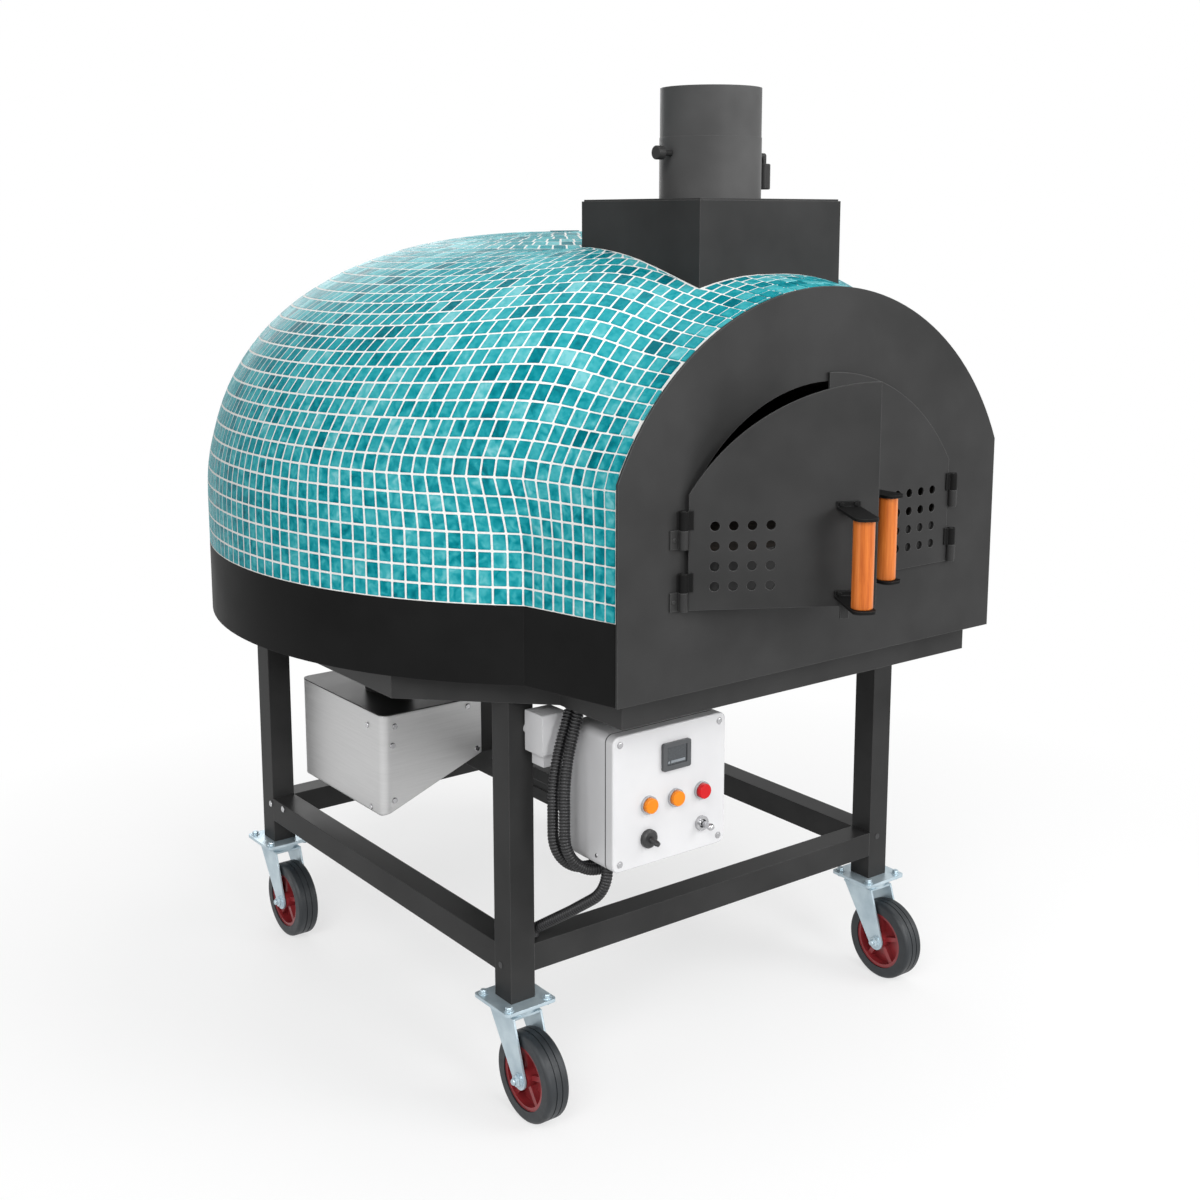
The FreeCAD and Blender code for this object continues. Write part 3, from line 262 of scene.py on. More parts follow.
def reckon(mat, operation, first, second=None):
    """Arithmetic on one value or two; a plain number goes on the node's own input."""
    made = node(mat, "ShaderNodeMath", operation=operation)
    for socket, value in zip(made.inputs, (first, second)):
        if isinstance(value, (int, float)):
            socket.default_value = value
        elif value is not None:
            mat.node_tree.links.new(value, socket)
    return made.outputs[0]


def spread(mat, source, low, high, low_in=0.3, high_in=0.7):
    """A value moved from one range to another."""
    return node(mat, "ShaderNodeMapRange", {"Value": source}, From_Min=low_in, From_Max=high_in,
                To_Min=low, To_Max=high).outputs["Result"]


def bump(mat, height, strength, distance, edge=0.0):
    """Surface relief, with edges rounded to a radius for the light where one is given."""
    made = node(mat, "ShaderNodeBump", {"Height": height}, Strength=strength, Distance=distance)
    if edge:
        soft = node(mat, "ShaderNodeBevel", samples=4, Radius=edge)
        mat.node_tree.links.new(soft.outputs["Normal"], made.inputs["Normal"])
    shade(mat, "Normal", made.outputs["Normal"])


def scaled(colour, k):
    """A colour made lighter or darker by a factor."""
    return tuple(min(1.0, c * k) for c in colour)


def varied(mat, source, colour, share):
    """A colour that drifts by a share to either side with a value."""
    return ramp(mat, source, [(0.3, scaled(colour, 1 - share)), (0.7, scaled(colour, 1 + share))])


def black_steel(name, depth, rough, edge_highlight, shine):
    """Black stove paint with soft cloudiness.

    Edges are painted lighter, a painted highlight, where the normal of a rounded edge leaves the flat one.
    """
    mat = finish(name, (depth, depth, depth), rough, Specular_IOR_Level=shine)
    soft = node(mat, "ShaderNodeBevel", samples=6, Radius=0.0022).outputs["Normal"]
    flat = node(mat, "ShaderNodeNewGeometry").outputs["True Normal"]
    agree = node(mat, "ShaderNodeVectorMath", {0: soft, 1: flat}, operation="DOT_PRODUCT").outputs["Value"]
    # painted highlight: a paler grey mixed into the paint along the rounded edges
    edge = spread(mat, agree, 1.0, 0.0, 0.76, 0.98)
    paint = ramp(mat, noise(mat, 6, 3), [(0.3, (0.8 * depth,) * 3), (0.7, (1.2 * depth,) * 3)])
    mixed = node(mat, "ShaderNodeMixRGB", {"Fac": edge, "Color1": paint}, Color2=(edge_highlight, edge_highlight, edge_highlight, 1))
    shade(mat, "Base Color", mixed.outputs["Color"])
    shade(mat, "Roughness", spread(mat, noise(mat, 12, 3), rough - 0.03, rough + 0.03))
    shade(mat, "Normal", soft)
    return mat


def mosaic():
    """Glass tiles in turquoise: each has its own depth of colour, and the lower ones are more clouded."""
    mat = finish("mosaic_glass", (0.04, 0.36, 0.40), 0.3, Specular_IOR_Level=0.03)
    own = node(mat, "ShaderNodeAttribute", attribute_name="tone").outputs["Fac"]
    drift = reckon(mat, "MULTIPLY", own, 90.0)
    here = node(mat, "ShaderNodeTexCoord").outputs["Object"]
    blots = node(mat, "ShaderNodeTexNoise", {"Vector": here, "W": drift}, noise_dimensions="4D",
                 Scale=52, Detail=2.0, Roughness=0.45, Distortion=0.8).outputs["Fac"]
    swirl = node(mat, "ShaderNodeTexNoise", {"Vector": here, "W": drift}, noise_dimensions="4D",
                 Scale=120, Detail=1.0).outputs["Fac"]
    height = node(mat, "ShaderNodeSeparateXYZ", {"Vector": here}).outputs["Z"]
    clouded = spread(mat, height, 1.0, 0.4, SPRING_Z + 0.12, SPRING_Z + 0.34)
    across_tile = node(mat, "ShaderNodeUVMap", uv_map="tile").outputs["UV"]
    flat = node(mat, "ShaderNodeSeparateXYZ", {"Vector": across_tile})
    sides = [reckon(mat, "ABSOLUTE", reckon(mat, "SUBTRACT", flat.outputs[axis], 0.5)) for axis in "XY"]
    # each tile is darker towards its edges: partly the glass's own rim, partly painted shade beside the
    # grout joints
    rim = spread(mat, reckon(mat, "MAXIMUM", *sides), 0.0, 0.16, 0.34, 0.48)
    cloud = reckon(mat, "MULTIPLY", spread(mat, blots, -0.34, 0.34), clouded)
    tone = reckon(mat, "ADD", own, cloud)
    tone = reckon(mat, "ADD", tone, spread(mat, swirl, -0.06, 0.06))
    tone = reckon(mat, "SUBTRACT", tone, rim)
    shade(mat, "Base Color", ramp(mat, tone, [
        (0.0, (0.001, 0.130, 0.164)), (0.25, (0.003, 0.212, 0.252)), (0.5, (0.018, 0.300, 0.342)),
        (0.75, (0.060, 0.392, 0.430)), (1.0, (0.180, 0.510, 0.545))]))
    shade(mat, "Roughness", spread(mat, swirl, 0.22, 0.38))
    bump(mat, blots, 0.10, 0.0008)
    return mat


def grout():
    """Sandy white grout."""
    mat = finish("white_grout", (0.80, 0.80, 0.78), 0.85)
    shade(mat, "Base Color", ramp(mat, noise(mat, 220, 4), [
        (0.3, (0.70, 0.70, 0.68)), (0.7, (0.86, 0.86, 0.84))]))
    bump(mat, noise(mat, 1500, 3), 0.25, 0.0004)
    return mat


def firebrick():
    """Firebrick blackened by smoke."""
    mat = finish("firebrick", (0.05, 0.042, 0.036), 0.95, Specular_IOR_Level=0.2)
    shade(mat, "Base Color", ramp(mat, noise(mat, 26, 6), [
        (0.25, (0.018, 0.016, 0.015)), (0.5, (0.040, 0.034, 0.029)), (0.8, (0.085, 0.070, 0.056))]))
    bump(mat, noise(mat, 240, 5), 0.4, 0.002)
    return mat


def brushed(name, colour, rough, grain, strength, metal=1.0, contrast=0.12, edge=0.0):
    """Bright metal brushed along one direction."""
    mat = finish(name, colour, rough, metal)
    lines = noise(mat, 60, 5, coordinates(mat, grain), 0.7)
    shade(mat, "Base Color", varied(mat, lines, colour, contrast))
    shade(mat, "Roughness", spread(mat, lines, rough - 0.05, rough + 0.06))
    bump(mat, lines, strength, 0.0004, edge)
    return mat


def zinc():
    """Blue-white zinc plate, half bright metal and half dull bloom."""
    mat = finish("zinc_plate", (0.46, 0.56, 0.62), 0.34, 0.55)
    bloom = noise(mat, 24, 4)
    shade(mat, "Base Color", ramp(mat, bloom, [
        (0.3, (0.38, 0.48, 0.54)), (0.7, (0.54, 0.64, 0.69))]))
    shade(mat, "Roughness", spread(mat, noise(mat, 60, 4), 0.28, 0.42))
    bump(mat, noise(mat, 500, 2), 0.04, 0.0004, 0.0012)
    return mat


def cast_aluminium():
    """Pale powder-coated casting."""
    mat = finish("cast_aluminium", (0.60, 0.60, 0.61), 0.4, 0.1)
    shade(mat, "Base Color", ramp(mat, noise(mat, 9, 3), [
        (0.3, (0.58, 0.58, 0.59)), (0.7, (0.62, 0.62, 0.63))]))
    shade(mat, "Roughness", spread(mat, noise(mat, 40, 3), 0.34, 0.46))
    bump(mat, noise(mat, 1100, 3), 0.10, 0.0005, 0.002)
    return mat


def plain(name, colour, rough, vary=0.16, peel=0.05, scale=40, **sockets):
    """Moulded or painted finish with slight unevenness."""
    mat = finish(name, colour, rough, **sockets)
    shade(mat, "Base Color", varied(mat, noise(mat, scale, 4), colour, vary))
    shade(mat, "Roughness", spread(mat, noise(mat, scale * 1.7, 3), max(0.04, rough - 0.07), rough + 0.08))
    bump(mat, noise(mat, 800, 2), peel, 0.0005)
    return mat


def orange_wood():
    """Varnished orange wood with grain along the grip."""
    mat = finish("orange_wood", (0.66, 0.19, 0.035), 0.38,
                 Specular_IOR_Level=0.25, Coat_Weight=0.08, Coat_Roughness=0.22)
    long_grain = noise(mat, 110, 5, coordinates(mat, (1, 1, 0.05)), 0.68)
    shade(mat, "Base Color", ramp(mat, long_grain, [
        (0.30, (0.34, 0.066, 0.009)), (0.50, (0.54, 0.138, 0.022)), (0.72, (0.68, 0.210, 0.040))]))
    shade(mat, "Roughness", spread(mat, long_grain, 0.42, 0.28))
    bump(mat, long_grain, 0.12, 0.0005)
    return mat


def ribbed_plastic():
    """Black hose plastic: grooves painted near black, a painted shade, and crests painted lighter, a
    painted highlight.
    """
    mat = finish("conduit_black", (0.01, 0.01, 0.011), 0.28, Specular_IOR_Level=0.4)
    crest = node(mat, "ShaderNodeAttribute", attribute_name="crest").outputs["Fac"]
    dust = spread(mat, noise(mat, 60, 3), -0.06, 0.06)
    # painted shade in the grooves and a painted highlight on the crests, read from the crest share
    shade(mat, "Base Color", ramp(mat, reckon(mat, "ADD", crest, dust), [
        (0.3, (0.001, 0.001, 0.001)), (0.8, (0.004, 0.004, 0.005)), (1.0, (0.030, 0.030, 0.032))]))
    shade(mat, "Roughness", spread(mat, crest, 0.6, 0.26, 0.2, 1.0))
    return mat


STEEL = black_steel("black_steel", depth=0.031, rough=0.35, edge_highlight=0.10, shine=0.12)
# darker copy of the black paint for the skirt band, hinges, brackets and their bolts: painted shade
SHADED_STEEL = black_steel("shaded_steel", depth=0.010, rough=0.46, edge_highlight=0.04, shine=0.03)
FRAME_STEEL = black_steel("frame_steel", depth=0.030, rough=0.36, edge_highlight=0.08, shine=0.07)
# paler copy of the black paint for the flue: painted highlight, standing in for the lamps' sheen on its
# round side
LIT_FLUE_STEEL = black_steel("lit_flue_steel", depth=0.085, rough=0.34, edge_highlight=0.09, shine=0.02)
MOSAIC, GROUT_WHITE, BRICK = mosaic(), grout(), firebrick()
ZINC, CASTING = zinc(), cast_aluminium()
STAINLESS = brushed("brushed_stainless", (0.60, 0.60, 0.60), 0.38, grain=(0.12, 0.12, 4), strength=0.04,
                    metal=0.6, contrast=0.06, edge=0.004)
CHROME = brushed("bright_metal", (0.46, 0.46, 0.47), 0.20, grain=(1, 0.05, 1), strength=0.03, metal=0.95)
HUB_RED = plain("hub_red", (0.235, 0.022, 0.026), 0.34)
TYRE_GREY = plain("tyre_rubber", (0.011, 0.014, 0.017), 0.5, vary=0.15, peel=0.10)
BLACK_PLASTIC = plain("black_plastic", (0.02, 0.02, 0.021), 0.42)
AMBER = plain("amber_lens", (0.74, 0.205, 0.001), 0.36, vary=0.06, peel=0.02, Specular_IOR_Level=0.3)
RED_LENS = plain("red_lens", (0.50, 0.001, 0.004), 0.36, vary=0.06, peel=0.02, Specular_IOR_Level=0.3)
WOOD = orange_wood()
CONDUIT = ribbed_plastic()
WOOL = plain("insulation_wool", (0.75, 0.74, 0.70), 0.95, vary=0.1, peel=0.4, scale=90)
SCREEN = plain("dark_screen", (0.045, 0.050, 0.055), 0.22, vary=0.35, peel=0.02, scale=420)
SCREEN_GREY = plain("screen_grey", (0.20, 0.22, 0.24), 0.3, vary=0.12)
BEZEL = plain("bezel_grey", (0.055, 0.058, 0.062), 0.40, vary=0.08)

FINISHES = {
    "black_steel": STEEL, "mosaic": MOSAIC, "wool": WOOL, "floor_insulation": WOOL, "firebrick": BRICK,
    "zinc": ZINC, "red_hub": HUB_RED, "grey_tyre": TYRE_GREY, "cast_aluminium": CASTING,
    "stainless": STAINLESS, "black_plastic": BLACK_PLASTIC, "bright_metal": CHROME, "amber_lens": AMBER,
    "red_lens": RED_LENS, "orange_wood": WOOD, "conduit_black": CONDUIT}
STEELS = [   # starts of the names of the steel pieces that take another copy of the black paint: the darker copy is painted shade, the flue's paler copy a painted highlight
    (("left_hinges", "right_hinges", "left_brackets", "right_brackets", "skirt_band"), SHADED_STEEL),
    (("leg", "rail", "hood"), FRAME_STEEL),
    ("flue", LIT_FLUE_STEEL)]
for entry in frame["record"]["subparts"]:
    mesh = NODES[entry["node"]].data
    mesh.materials.clear()
    paint = FINISHES[entry["material_slot"]]
    if paint is STEEL:
        paint = next((other for start, other in STEELS if entry["node"].startswith(start)), STEEL)
    mesh.materials.append(paint)


# Mosaic over drum and neck

def profile_of_dome():
    """Drum section as (arc length, radius, height): an upright wall, then a superellipse to the crown."""
    t = np.linspace(0, math.pi / 2, DOME_SAMPLES)
    r = DRUM_R * np.cos(t).clip(0) ** (2 / CROWN_FULL)
    z = SPRING_Z + DOME_RISE * np.sin(t) ** (2 / WALL_FULL)
    r, z = np.append(DRUM_R, r), np.append(BAND_TOP, z)
    return np.append(0, np.cumsum(np.hypot(np.diff(r), np.diff(z)))), r, z


DOME_S, DOME_R, DOME_Z = profile_of_dome()


def smooth_step(x, low, high):
    """0 below low, 1 above high, and an S-curve between."""
    t = np.clip((x - low) / (high - low), 0, 1)
    return t * t * (3 - 2 * t)


def neck_arch(depth):
    """Half width, radius, centre height and half angle of the neck's vault at a depth behind the plate."""
    half = NECK_HALF + NECK_FLARE * depth
    crown = NECK_CROWN + NECK_RISE * depth
    rise = crown - PLATE_KINK
    radius = (half ** 2 + rise ** 2) / (2 * rise)
    return half, radius, crown - radius, np.arcsin(np.minimum(half / radius, 1))


SIDE = PLATE_KINK - BAND_TOP
VAULT = float(np.prod(neck_arch(NECK_START)[1::2]))
RIDGE = SIDE + VAULT


def off_body(p):
    """About how far points lie outside the body: drum and neck, joined with an easing that opens upwards.

    The drum is a superellipse of radius and height. The neck is walls and a vault that close in
    past its end.
    """
    x, y, z = p[..., 0], p[..., 1], p[..., 2]
    r, h = np.hypot(x, y - DRUM_Y) / DRUM_R, np.maximum(z - SPRING_Z, 0) / DOME_RISE
    metres = 0.62   # per unit of the superellipse
    drum = metres * ((r ** CROWN_FULL + h ** WALL_FULL) ** (2 / (CROWN_FULL + WALL_FULL)) - 1)
    depth = y - FACE_Y
    half, radius, centre, _ = neck_arch(np.clip(depth, 0, NECK_END))
    neck = np.where(z < PLATE_KINK, np.abs(x) - half, np.hypot(x, z - centre) - radius)
    past = np.maximum(depth - NECK_END, 0)
    neck = neck + 0.5 * past + 3 * past ** 2
    upwards, inwards = smooth_step(z, *FILLET_OPENS), smooth_step(depth, *FILLET_DEPTHS)
    reach = CREASE + FILLET * (upwards * inwards * (1 - FILLET_LOSS * smooth_step(z, *FILLET_CLOSES)))
    mix = np.clip(0.5 + 0.5 * (neck - drum) / reach, 0, 1)
    return neck + (drum - neck) * mix - reach * mix * (1 - mix)


def on_body(points):
    """Points moved along rays from inside the oven onto the body, by halving the distance."""
    rays = points - HEART
    low, high = (np.full(points.shape[:-1], share) for share in RAY_SHARES)
    for _ in range(HALVINGS):
        middle = (low + high) / 2
        outside = off_body(HEART + middle[..., None] * rays) > 0
        high, low = np.where(outside, middle, high), np.where(outside, low, middle)
    return HEART + middle[..., None] * rays


def neck_line(depth, s):
    """Half width and height on the neck, s up its side and then round its vault."""
    half, radius, centre, angle = neck_arch(depth)
    turn = angle * (1 - np.clip((s - SIDE) / VAULT, 0, 1))
    if s <= SIDE:
        return half, np.full_like(depth, BAND_TOP + s)
    return radius * np.sin(turn), centre + radius * np.cos(turn)


def run_of(line):
    """Length along a polyline at each of its points."""
    return np.append(0, np.cumsum(np.linalg.norm(np.diff(line, axis=0), axis=1)))


def share_of(line):
    """Share of a polyline's length at each of its points."""
    run = run_of(line)
    return run / run[-1]


def along(line, stations, where):
    """Points of a polyline at chosen stations."""
    return np.stack([np.interp(where, stations, line[:, i]) for i in range(3)], 1)


def even(line, count):
    """Points at even steps along a polyline."""
    run = run_of(line)
    return along(line, run, np.linspace(0, run[-1], count))


def course(s):
    """One level line: stations 0 to 1 follow the left neck, 1 to 3 the drum, 3 to 4 the right neck."""
    depth = np.linspace(NECK_START, NECK_END, NECK_SAMPLES)
    x, z = neck_line(depth, s)
    r, level = np.interp(s, DOME_S, DOME_R), np.interp(s, DOME_S, DOME_Z)
    back = DRUM_Y - FACE_Y
    inside = x ** 2 + (depth - back) ** 2 < r ** 2
    cross = np.argmax(inside) if inside.any() else len(depth) - 1
    neck = np.stack([-x, depth, z], 1)[:cross + 1]
    turn = np.linspace(math.atan2(x[cross], back - depth[cross]), math.pi, RING_SAMPLES)
    drum = np.stack([-r * np.sin(turn), back - r * np.cos(turn), np.full_like(turn, level)], 1)
    half = np.concatenate([even(neck, NECK_STEPS + 1), even(drum, DRUM_STEPS + 1)[1:]])
    whole = np.concatenate([half, half[-2::-1] * (-1, 1, 1)])
    whole[:, 1] += FACE_Y
    return whole


def level_lines():
    """All courses, eased into one another where drum and neck flow together, and laid on the body."""
    lines = np.stack([course(s) for s in LEVELS])
    shares = [share_of(line) for line in lines]
    high = smooth_step(LEVELS, 0.12, 0.32)[:, None, None]
    inner = smooth_step(FROM_PLATE, 0.15, 0.8)[None, :, None]
    for turn in range(EASE_ROUNDS):
        lines[:, 1:-1] += EASE * high * (lines[:, :-2] + lines[:, 2:] - 2 * lines[:, 1:-1])
        if turn % ACROSS_EVERY == 0:
            lines[1:-1] += EASE * (high * inner)[1:-1] * (lines[:-2] + lines[2:] - 2 * lines[1:-1])
    spaced = [along(line, share_of(line), share) for line, share in zip(lines, shares)]
    return rounded_off(on_body(np.stack(spaced)))


def rounded_off(lines):
    """Distances from inside the oven evened out, but not at the lowest courses, the plate and the back."""
    rays = lines - HEART
    far = np.linalg.norm(rays, axis=-1, keepdims=True)
    rays, soft = rays / far, smooth_step(LEVELS, 0.08, 0.30)[:, None, None]
    front = smooth_step(np.abs(STATIONS - 2), 0.2, 0.7) * smooth_step(FROM_PLATE, 0.05, 0.4)
    soft = (soft * front[None, :, None])[1:-1, 1:-1]
    for _ in range(ROUND_ROUNDS):
        bend = far[1:-1, :-2] + far[1:-1, 2:] - 2 * far[1:-1, 1:-1]
        rise = far[:-2, 1:-1] + far[2:, 1:-1] - 2 * far[1:-1, 1:-1]
        far[1:-1, 1:-1] += soft * (EASE * bend + ROUND_UP * rise)
    return HEART + far * rays


STATIONS = np.concatenate([np.linspace(0, 1, NECK_STEPS + 1), np.linspace(1, 2, DRUM_STEPS + 1)[1:],
                           np.linspace(2, 3, DRUM_STEPS + 1)[1:], np.linspace(3, 4, NECK_STEPS + 1)[1:]])
FROM_PLATE = np.minimum(STATIONS, 4 - STATIONS)
LEVELS = np.linspace(0, RIDGE, COURSES + 1)
HEART = np.array([0.0, FACE_Y + HEART_DEPTH, SPRING_Z - HEART_DROP])
LINES = level_lines()
CROWN_EDGE = LINES[-1][NECK_STEPS:-NECK_STEPS]
CROWN_ROWS = round(float(np.interp(RIDGE, DOME_S, DOME_R)) / (RIDGE / COURSES))


def crown_line(k):
    """Ring k of the crown: the top course drawn in towards the drum's axis."""
    middle = np.array([0, DRUM_Y, CROWN_EDGE[:, 2].mean()])
    return on_body(middle + (CROWN_EDGE - middle) * (1 - k / CROWN_ROWS))


def row_of_cells(low, high, stations, joints):
    """Cells between two lines: foot left, foot right, head right, head left."""
    foot, head = along(low, stations, joints), along(high, stations, joints)
    return np.stack([foot[:-1], foot[1:], head[1:], head[:-1]], 1)


def tile_cells():
    """Every tile's cell: upright columns in the lower courses, staggered joints above."""
    cells = []
    drum_tiles = 2 * round(run_of(LINES[0][NECK_STEPS:NECK_STEPS + DRUM_STEPS + 1])[-1] / TILE_W)
    columns = np.concatenate([
        np.linspace(EDGE_LINE, 1, NECK_TILES + 1), np.linspace(1, 3, drum_tiles + 1)[1:],
        np.linspace(3, 4 - EDGE_LINE, NECK_TILES + 1)[1:]])
    for k in range(COURSES):
        joints = columns
        if k >= ALIGNED_COURSES:
            run = run_of((LINES[k] + LINES[k + 1]) / 2)
            count = round(run[-1] / TILE_W)
            cuts = (np.arange(count) + random.uniform(0.3, 0.7)) * run[-1] / count
            joints = np.concatenate([[EDGE_LINE], np.interp(cuts, run, STATIONS), [4 - EDGE_LINE]])
        cells.append(row_of_cells(LINES[k], LINES[k + 1], STATIONS, joints))
    rings = [crown_line(k) for k in range(CROWN_ROWS)]
    for low, high in zip(rings[:-1], rings[1:]):
        run = run_of((low + high) / 2)
        count = max(4, round(run[-1] / TILE_W))
        joints = (np.arange(count + 1) + random.uniform(0, 1)) / count % 1 * run[-1]
        cells.append(row_of_cells(low, high, run, joints))
    run, eighths = run_of(rings[-1]), np.array([7, 5, 3, 1])   # the middle tile's corners on the last ring
    cells.append(along(rings[-1], run, run[-1] * eighths / 8)[None])
    return clear_of_hood(np.concatenate(cells))


def clear_of_hood(cells):
    """Tiles cut along the hood's foot: corners inside its outline move to the nearest side."""
    x, y = cells[..., 0], cells[..., 1]
    ways = np.stack([x - HOOD_LOW.x + HOOD_GAP, HOOD_HIGH.x + HOOD_GAP - x,
                     y - HOOD_LOW.y + HOOD_GAP, HOOD_HIGH.y + HOOD_GAP - y], -1)
    inside = ways.min(-1) > 0
    way = ways.argmin(-1)
    shift = np.where(inside, ways.min(-1), 0)
    moved = cells.copy()
    moved[..., 0] += shift * np.choose(way, [-1, 1, 0, 0])
    moved[..., 1] += shift * np.choose(way, [0, 0, -1, 1])
    across, up = cells[:, 1] - cells[:, 0], cells[:, 3] - cells[:, 0]
    normal = np.cross(up, across)[:, None]
    moved[..., 2] -= ((moved - cells) * normal)[..., :2].sum(-1) / np.maximum(normal[..., 2], 1e-9)
    return moved[~inside.all(1)]


def lay_tiles():
    """Each tile is an eight-sided pad: a foot ring in the grout and a smaller, slightly tilted face."""
    cells = tile_cells()
    a, b, c, d = np.moveaxis(cells, 1, 0)
    normal = unit(np.cross(d - a + c - b, b - a + c - d))
    across = np.minimum(np.linalg.norm(b - a, axis=1), np.linalg.norm(c - d, axis=1))
    up = np.minimum(np.linalg.norm(d - a, axis=1), np.linalg.norm(c - b, axis=1))
    keep = (across > SMALLEST_TILE) & (up > SMALLEST_TILE)
    cells, normal, across, up = cells[keep], normal[keep], across[keep], up[keep]
    count = len(cells)

    def octagon(inset, cut):
        """Ring of eight (u, v) corners per tile, inset from the cell's edge with its corners cut."""
        iu, iv = inset / across, inset / up
        cu, cv = iu + cut / across, iv + cut / up
        u = np.stack([iu, iu, cu, 1 - cu, 1 - iu, 1 - iu, 1 - cu, cu], 1)
        v = np.stack([cv, 1 - cv, 1 - iv, 1 - iv, 1 - cv, cv, iv, iv], 1)
        return u, v

    rings, uvs = [], []
    tilt = random.normal(0, TILE_TILT, (count, 2))
    for inset, cut, depth in TILE_RINGS:
        u, v = octagon(inset, cut)
        weights = np.stack([(1 - u) * (1 - v), u * (1 - v), u * v, (1 - u) * v], 2)
        place = np.einsum("tkc,tcx->tkx", weights, cells)
        lift = depth + (u - 0.5) * tilt[:, :1] + (v - 0.5) * tilt[:, 1:]
        rings.append(place + lift[..., None] * normal[:, None])
        uvs.append(np.stack([u, v], 2))
    points = np.concatenate(rings, 1)
    per_tile = points.shape[1]
    start = np.arange(count)[:, None, None] * per_tile
    quads = (grid_faces(len(rings), 8, wrap_columns=True)[None] + start).reshape(-1, 4)
    tops = (np.arange(per_tile - 8, per_tile)[None] + start[:, 0]).reshape(-1, 8)
    faces = quads.tolist() + tops.tolist()
    obj = piece("mosaic_tiles", points.reshape(-1, 3), faces, MOSAIC, "oven",
                replaces=("tiled_shell",))
    mesh = obj.data
    corner_vertex = np.empty(len(mesh.loops), int)
    mesh.loops.foreach_get("vertex_index", corner_vertex)
    flat = np.concatenate(uvs, 1).reshape(-1, 2)
    mesh.uv_layers.new(name="tile").data.foreach_set("uv", flat[corner_vertex].ravel())
    scatter = TONE_LOW + TONE_MORE * smooth_step(cells[:, :, 2].mean(1), SPRING_Z + 0.08, SPRING_Z + 0.26)
    tone = np.clip(TONE + random.normal(0, 1, count) * scatter, *TONE_RANGE)
    mesh.attributes.new("tone", "FLOAT", "POINT").data.foreach_set("value", np.repeat(tone, per_tile))


def lay_grout():
    """White bed a little below the tile faces, deeper beside the plate."""
    beside = 1 - smooth_step(FROM_PLATE, 0.10, 0.30)
    sinks = GROUT_SUNK + SUNK_BESIDE_PLATE * beside
    crown = np.stack([crown_line(k) for k in range(CROWN_ROWS)] + [crown_line(CROWN_ROWS - 0.02)])
    sheets = []
    for lines, sunk in ((LINES, sinks[None, :, None]), (crown, GROUT_SUNK)):
        normal = unit(np.cross(np.gradient(lines, axis=0), np.gradient(lines, axis=1)))
        faces = grid_faces(*lines.shape[:2], wrap_columns=lines is crown)[:, ::-1].tolist()
        sheets.append(((lines - sunk * normal).reshape(-1, 3), faces))
    rings, columns = crown.shape[:2]
    sheets[1][1].append(list(range(rings * columns - 1, (rings - 1) * columns - 1, -1)))
    points, faces = gathered(sheets)
    piece("mosaic_grout", points, faces, GROUT_WHITE, "oven", smooth=True)


lay_tiles()
lay_grout()


# Corrugated conduits

def conduit(name, route, replaces, radius):
    """Ribbed hose: a circle carried along a smooth line, its radius swelling once per rib."""
    curve = bpy.data.curves.new(name, "CURVE")
    curve.dimensions = "3D"
    spline = curve.splines.new("NURBS")
    spline.points.add(len(route) - 1)
    weighted = np.append(np.asarray(route, float), np.ones((len(route), 1)), 1)
    spline.points.foreach_set("co", weighted.ravel())
    spline.order_u = 3
    spline.use_endpoint_u = True
    spline.resolution_u = 24
    holder = bpy.data.objects.new(name + "_line", curve)
    traced = bpy.data.meshes.new_from_object(holder)
    line = np.empty(len(traced.vertices) * 3)
    traced.vertices.foreach_get("co", line)
    line = line.reshape(-1, 3)
    bpy.data.objects.remove(holder)
    ribs = round(run_of(line)[-1] / RIB_PITCH)
    line = even(line, ribs * len(RIB) + 1)
    tangent = unit(np.gradient(line, axis=0))
    span = line[-1] - line[0]
    flat = unit(np.cross(span, (0, 0, 1)))
    side = unit(flat - (tangent @ flat)[:, None] * tangent)
    other = np.cross(tangent, side)
    swell = radius * RIB[np.arange(len(line)) % len(RIB)]
    turn = np.linspace(0, 2 * math.pi, HOSE_SIDES, endpoint=False)
    around = np.cos(turn)[None, :, None] * side[:, None] + np.sin(turn)[None, :, None] * other[:, None]
    points = line[:, None] + swell[:, None, None] * around
    ends = np.arange(HOSE_SIDES) + np.array([[0], [HOSE_SIDES * (len(line) - 1)]])
    faces = grid_faces(len(line), HOSE_SIDES, wrap_columns=True).tolist()
    faces += [ends[0, ::-1].tolist(), ends[1].tolist()]
    bpy.data.meshes.remove(traced)
    obj = piece(name, points.reshape(-1, 3), faces, CONDUIT, "oven", smooth=True,
                replaces=(replaces,))
    # share from groove to crest, which the hose's paint turns into painted shade and painted highlight
    crest = np.repeat((swell / radius - RIB.min()) / (1 - RIB.min()), HOSE_SIDES)
    obj.data.attributes.new("crest", "FLOAT", "POINT").data.foreach_set("value", crest)


def softened(route):
    """Control points of a route whose corners are round: each stop is (place, bend radius).

    A bend is a run of equal tangents to its circle, whose middles the curve touches.
    """
    places = [np.array(place, float) for place, _ in route]
    points = [places[0]]
    for before, (_, radius), here, after in zip(places, route[1:-1], places[1:], places[2:]):
        ahead, on = unit(here - before), unit(after - here)
        bend = math.acos(float(ahead @ on))
        inward = unit(on - (on @ ahead) * ahead)
        steps = math.ceil(bend / BEND_STEP)
        tangent = 2 * radius * math.tan(bend / steps / 2)
        points.append(here - (radius * math.tan(bend / 2) + tangent / 2) * ahead)
        for turn in np.arange(steps + 1) * bend / steps:
            points.append(points[-1] + tangent * (math.cos(turn) * ahead + math.sin(turn) * inward))
    return points + [places[-1]]


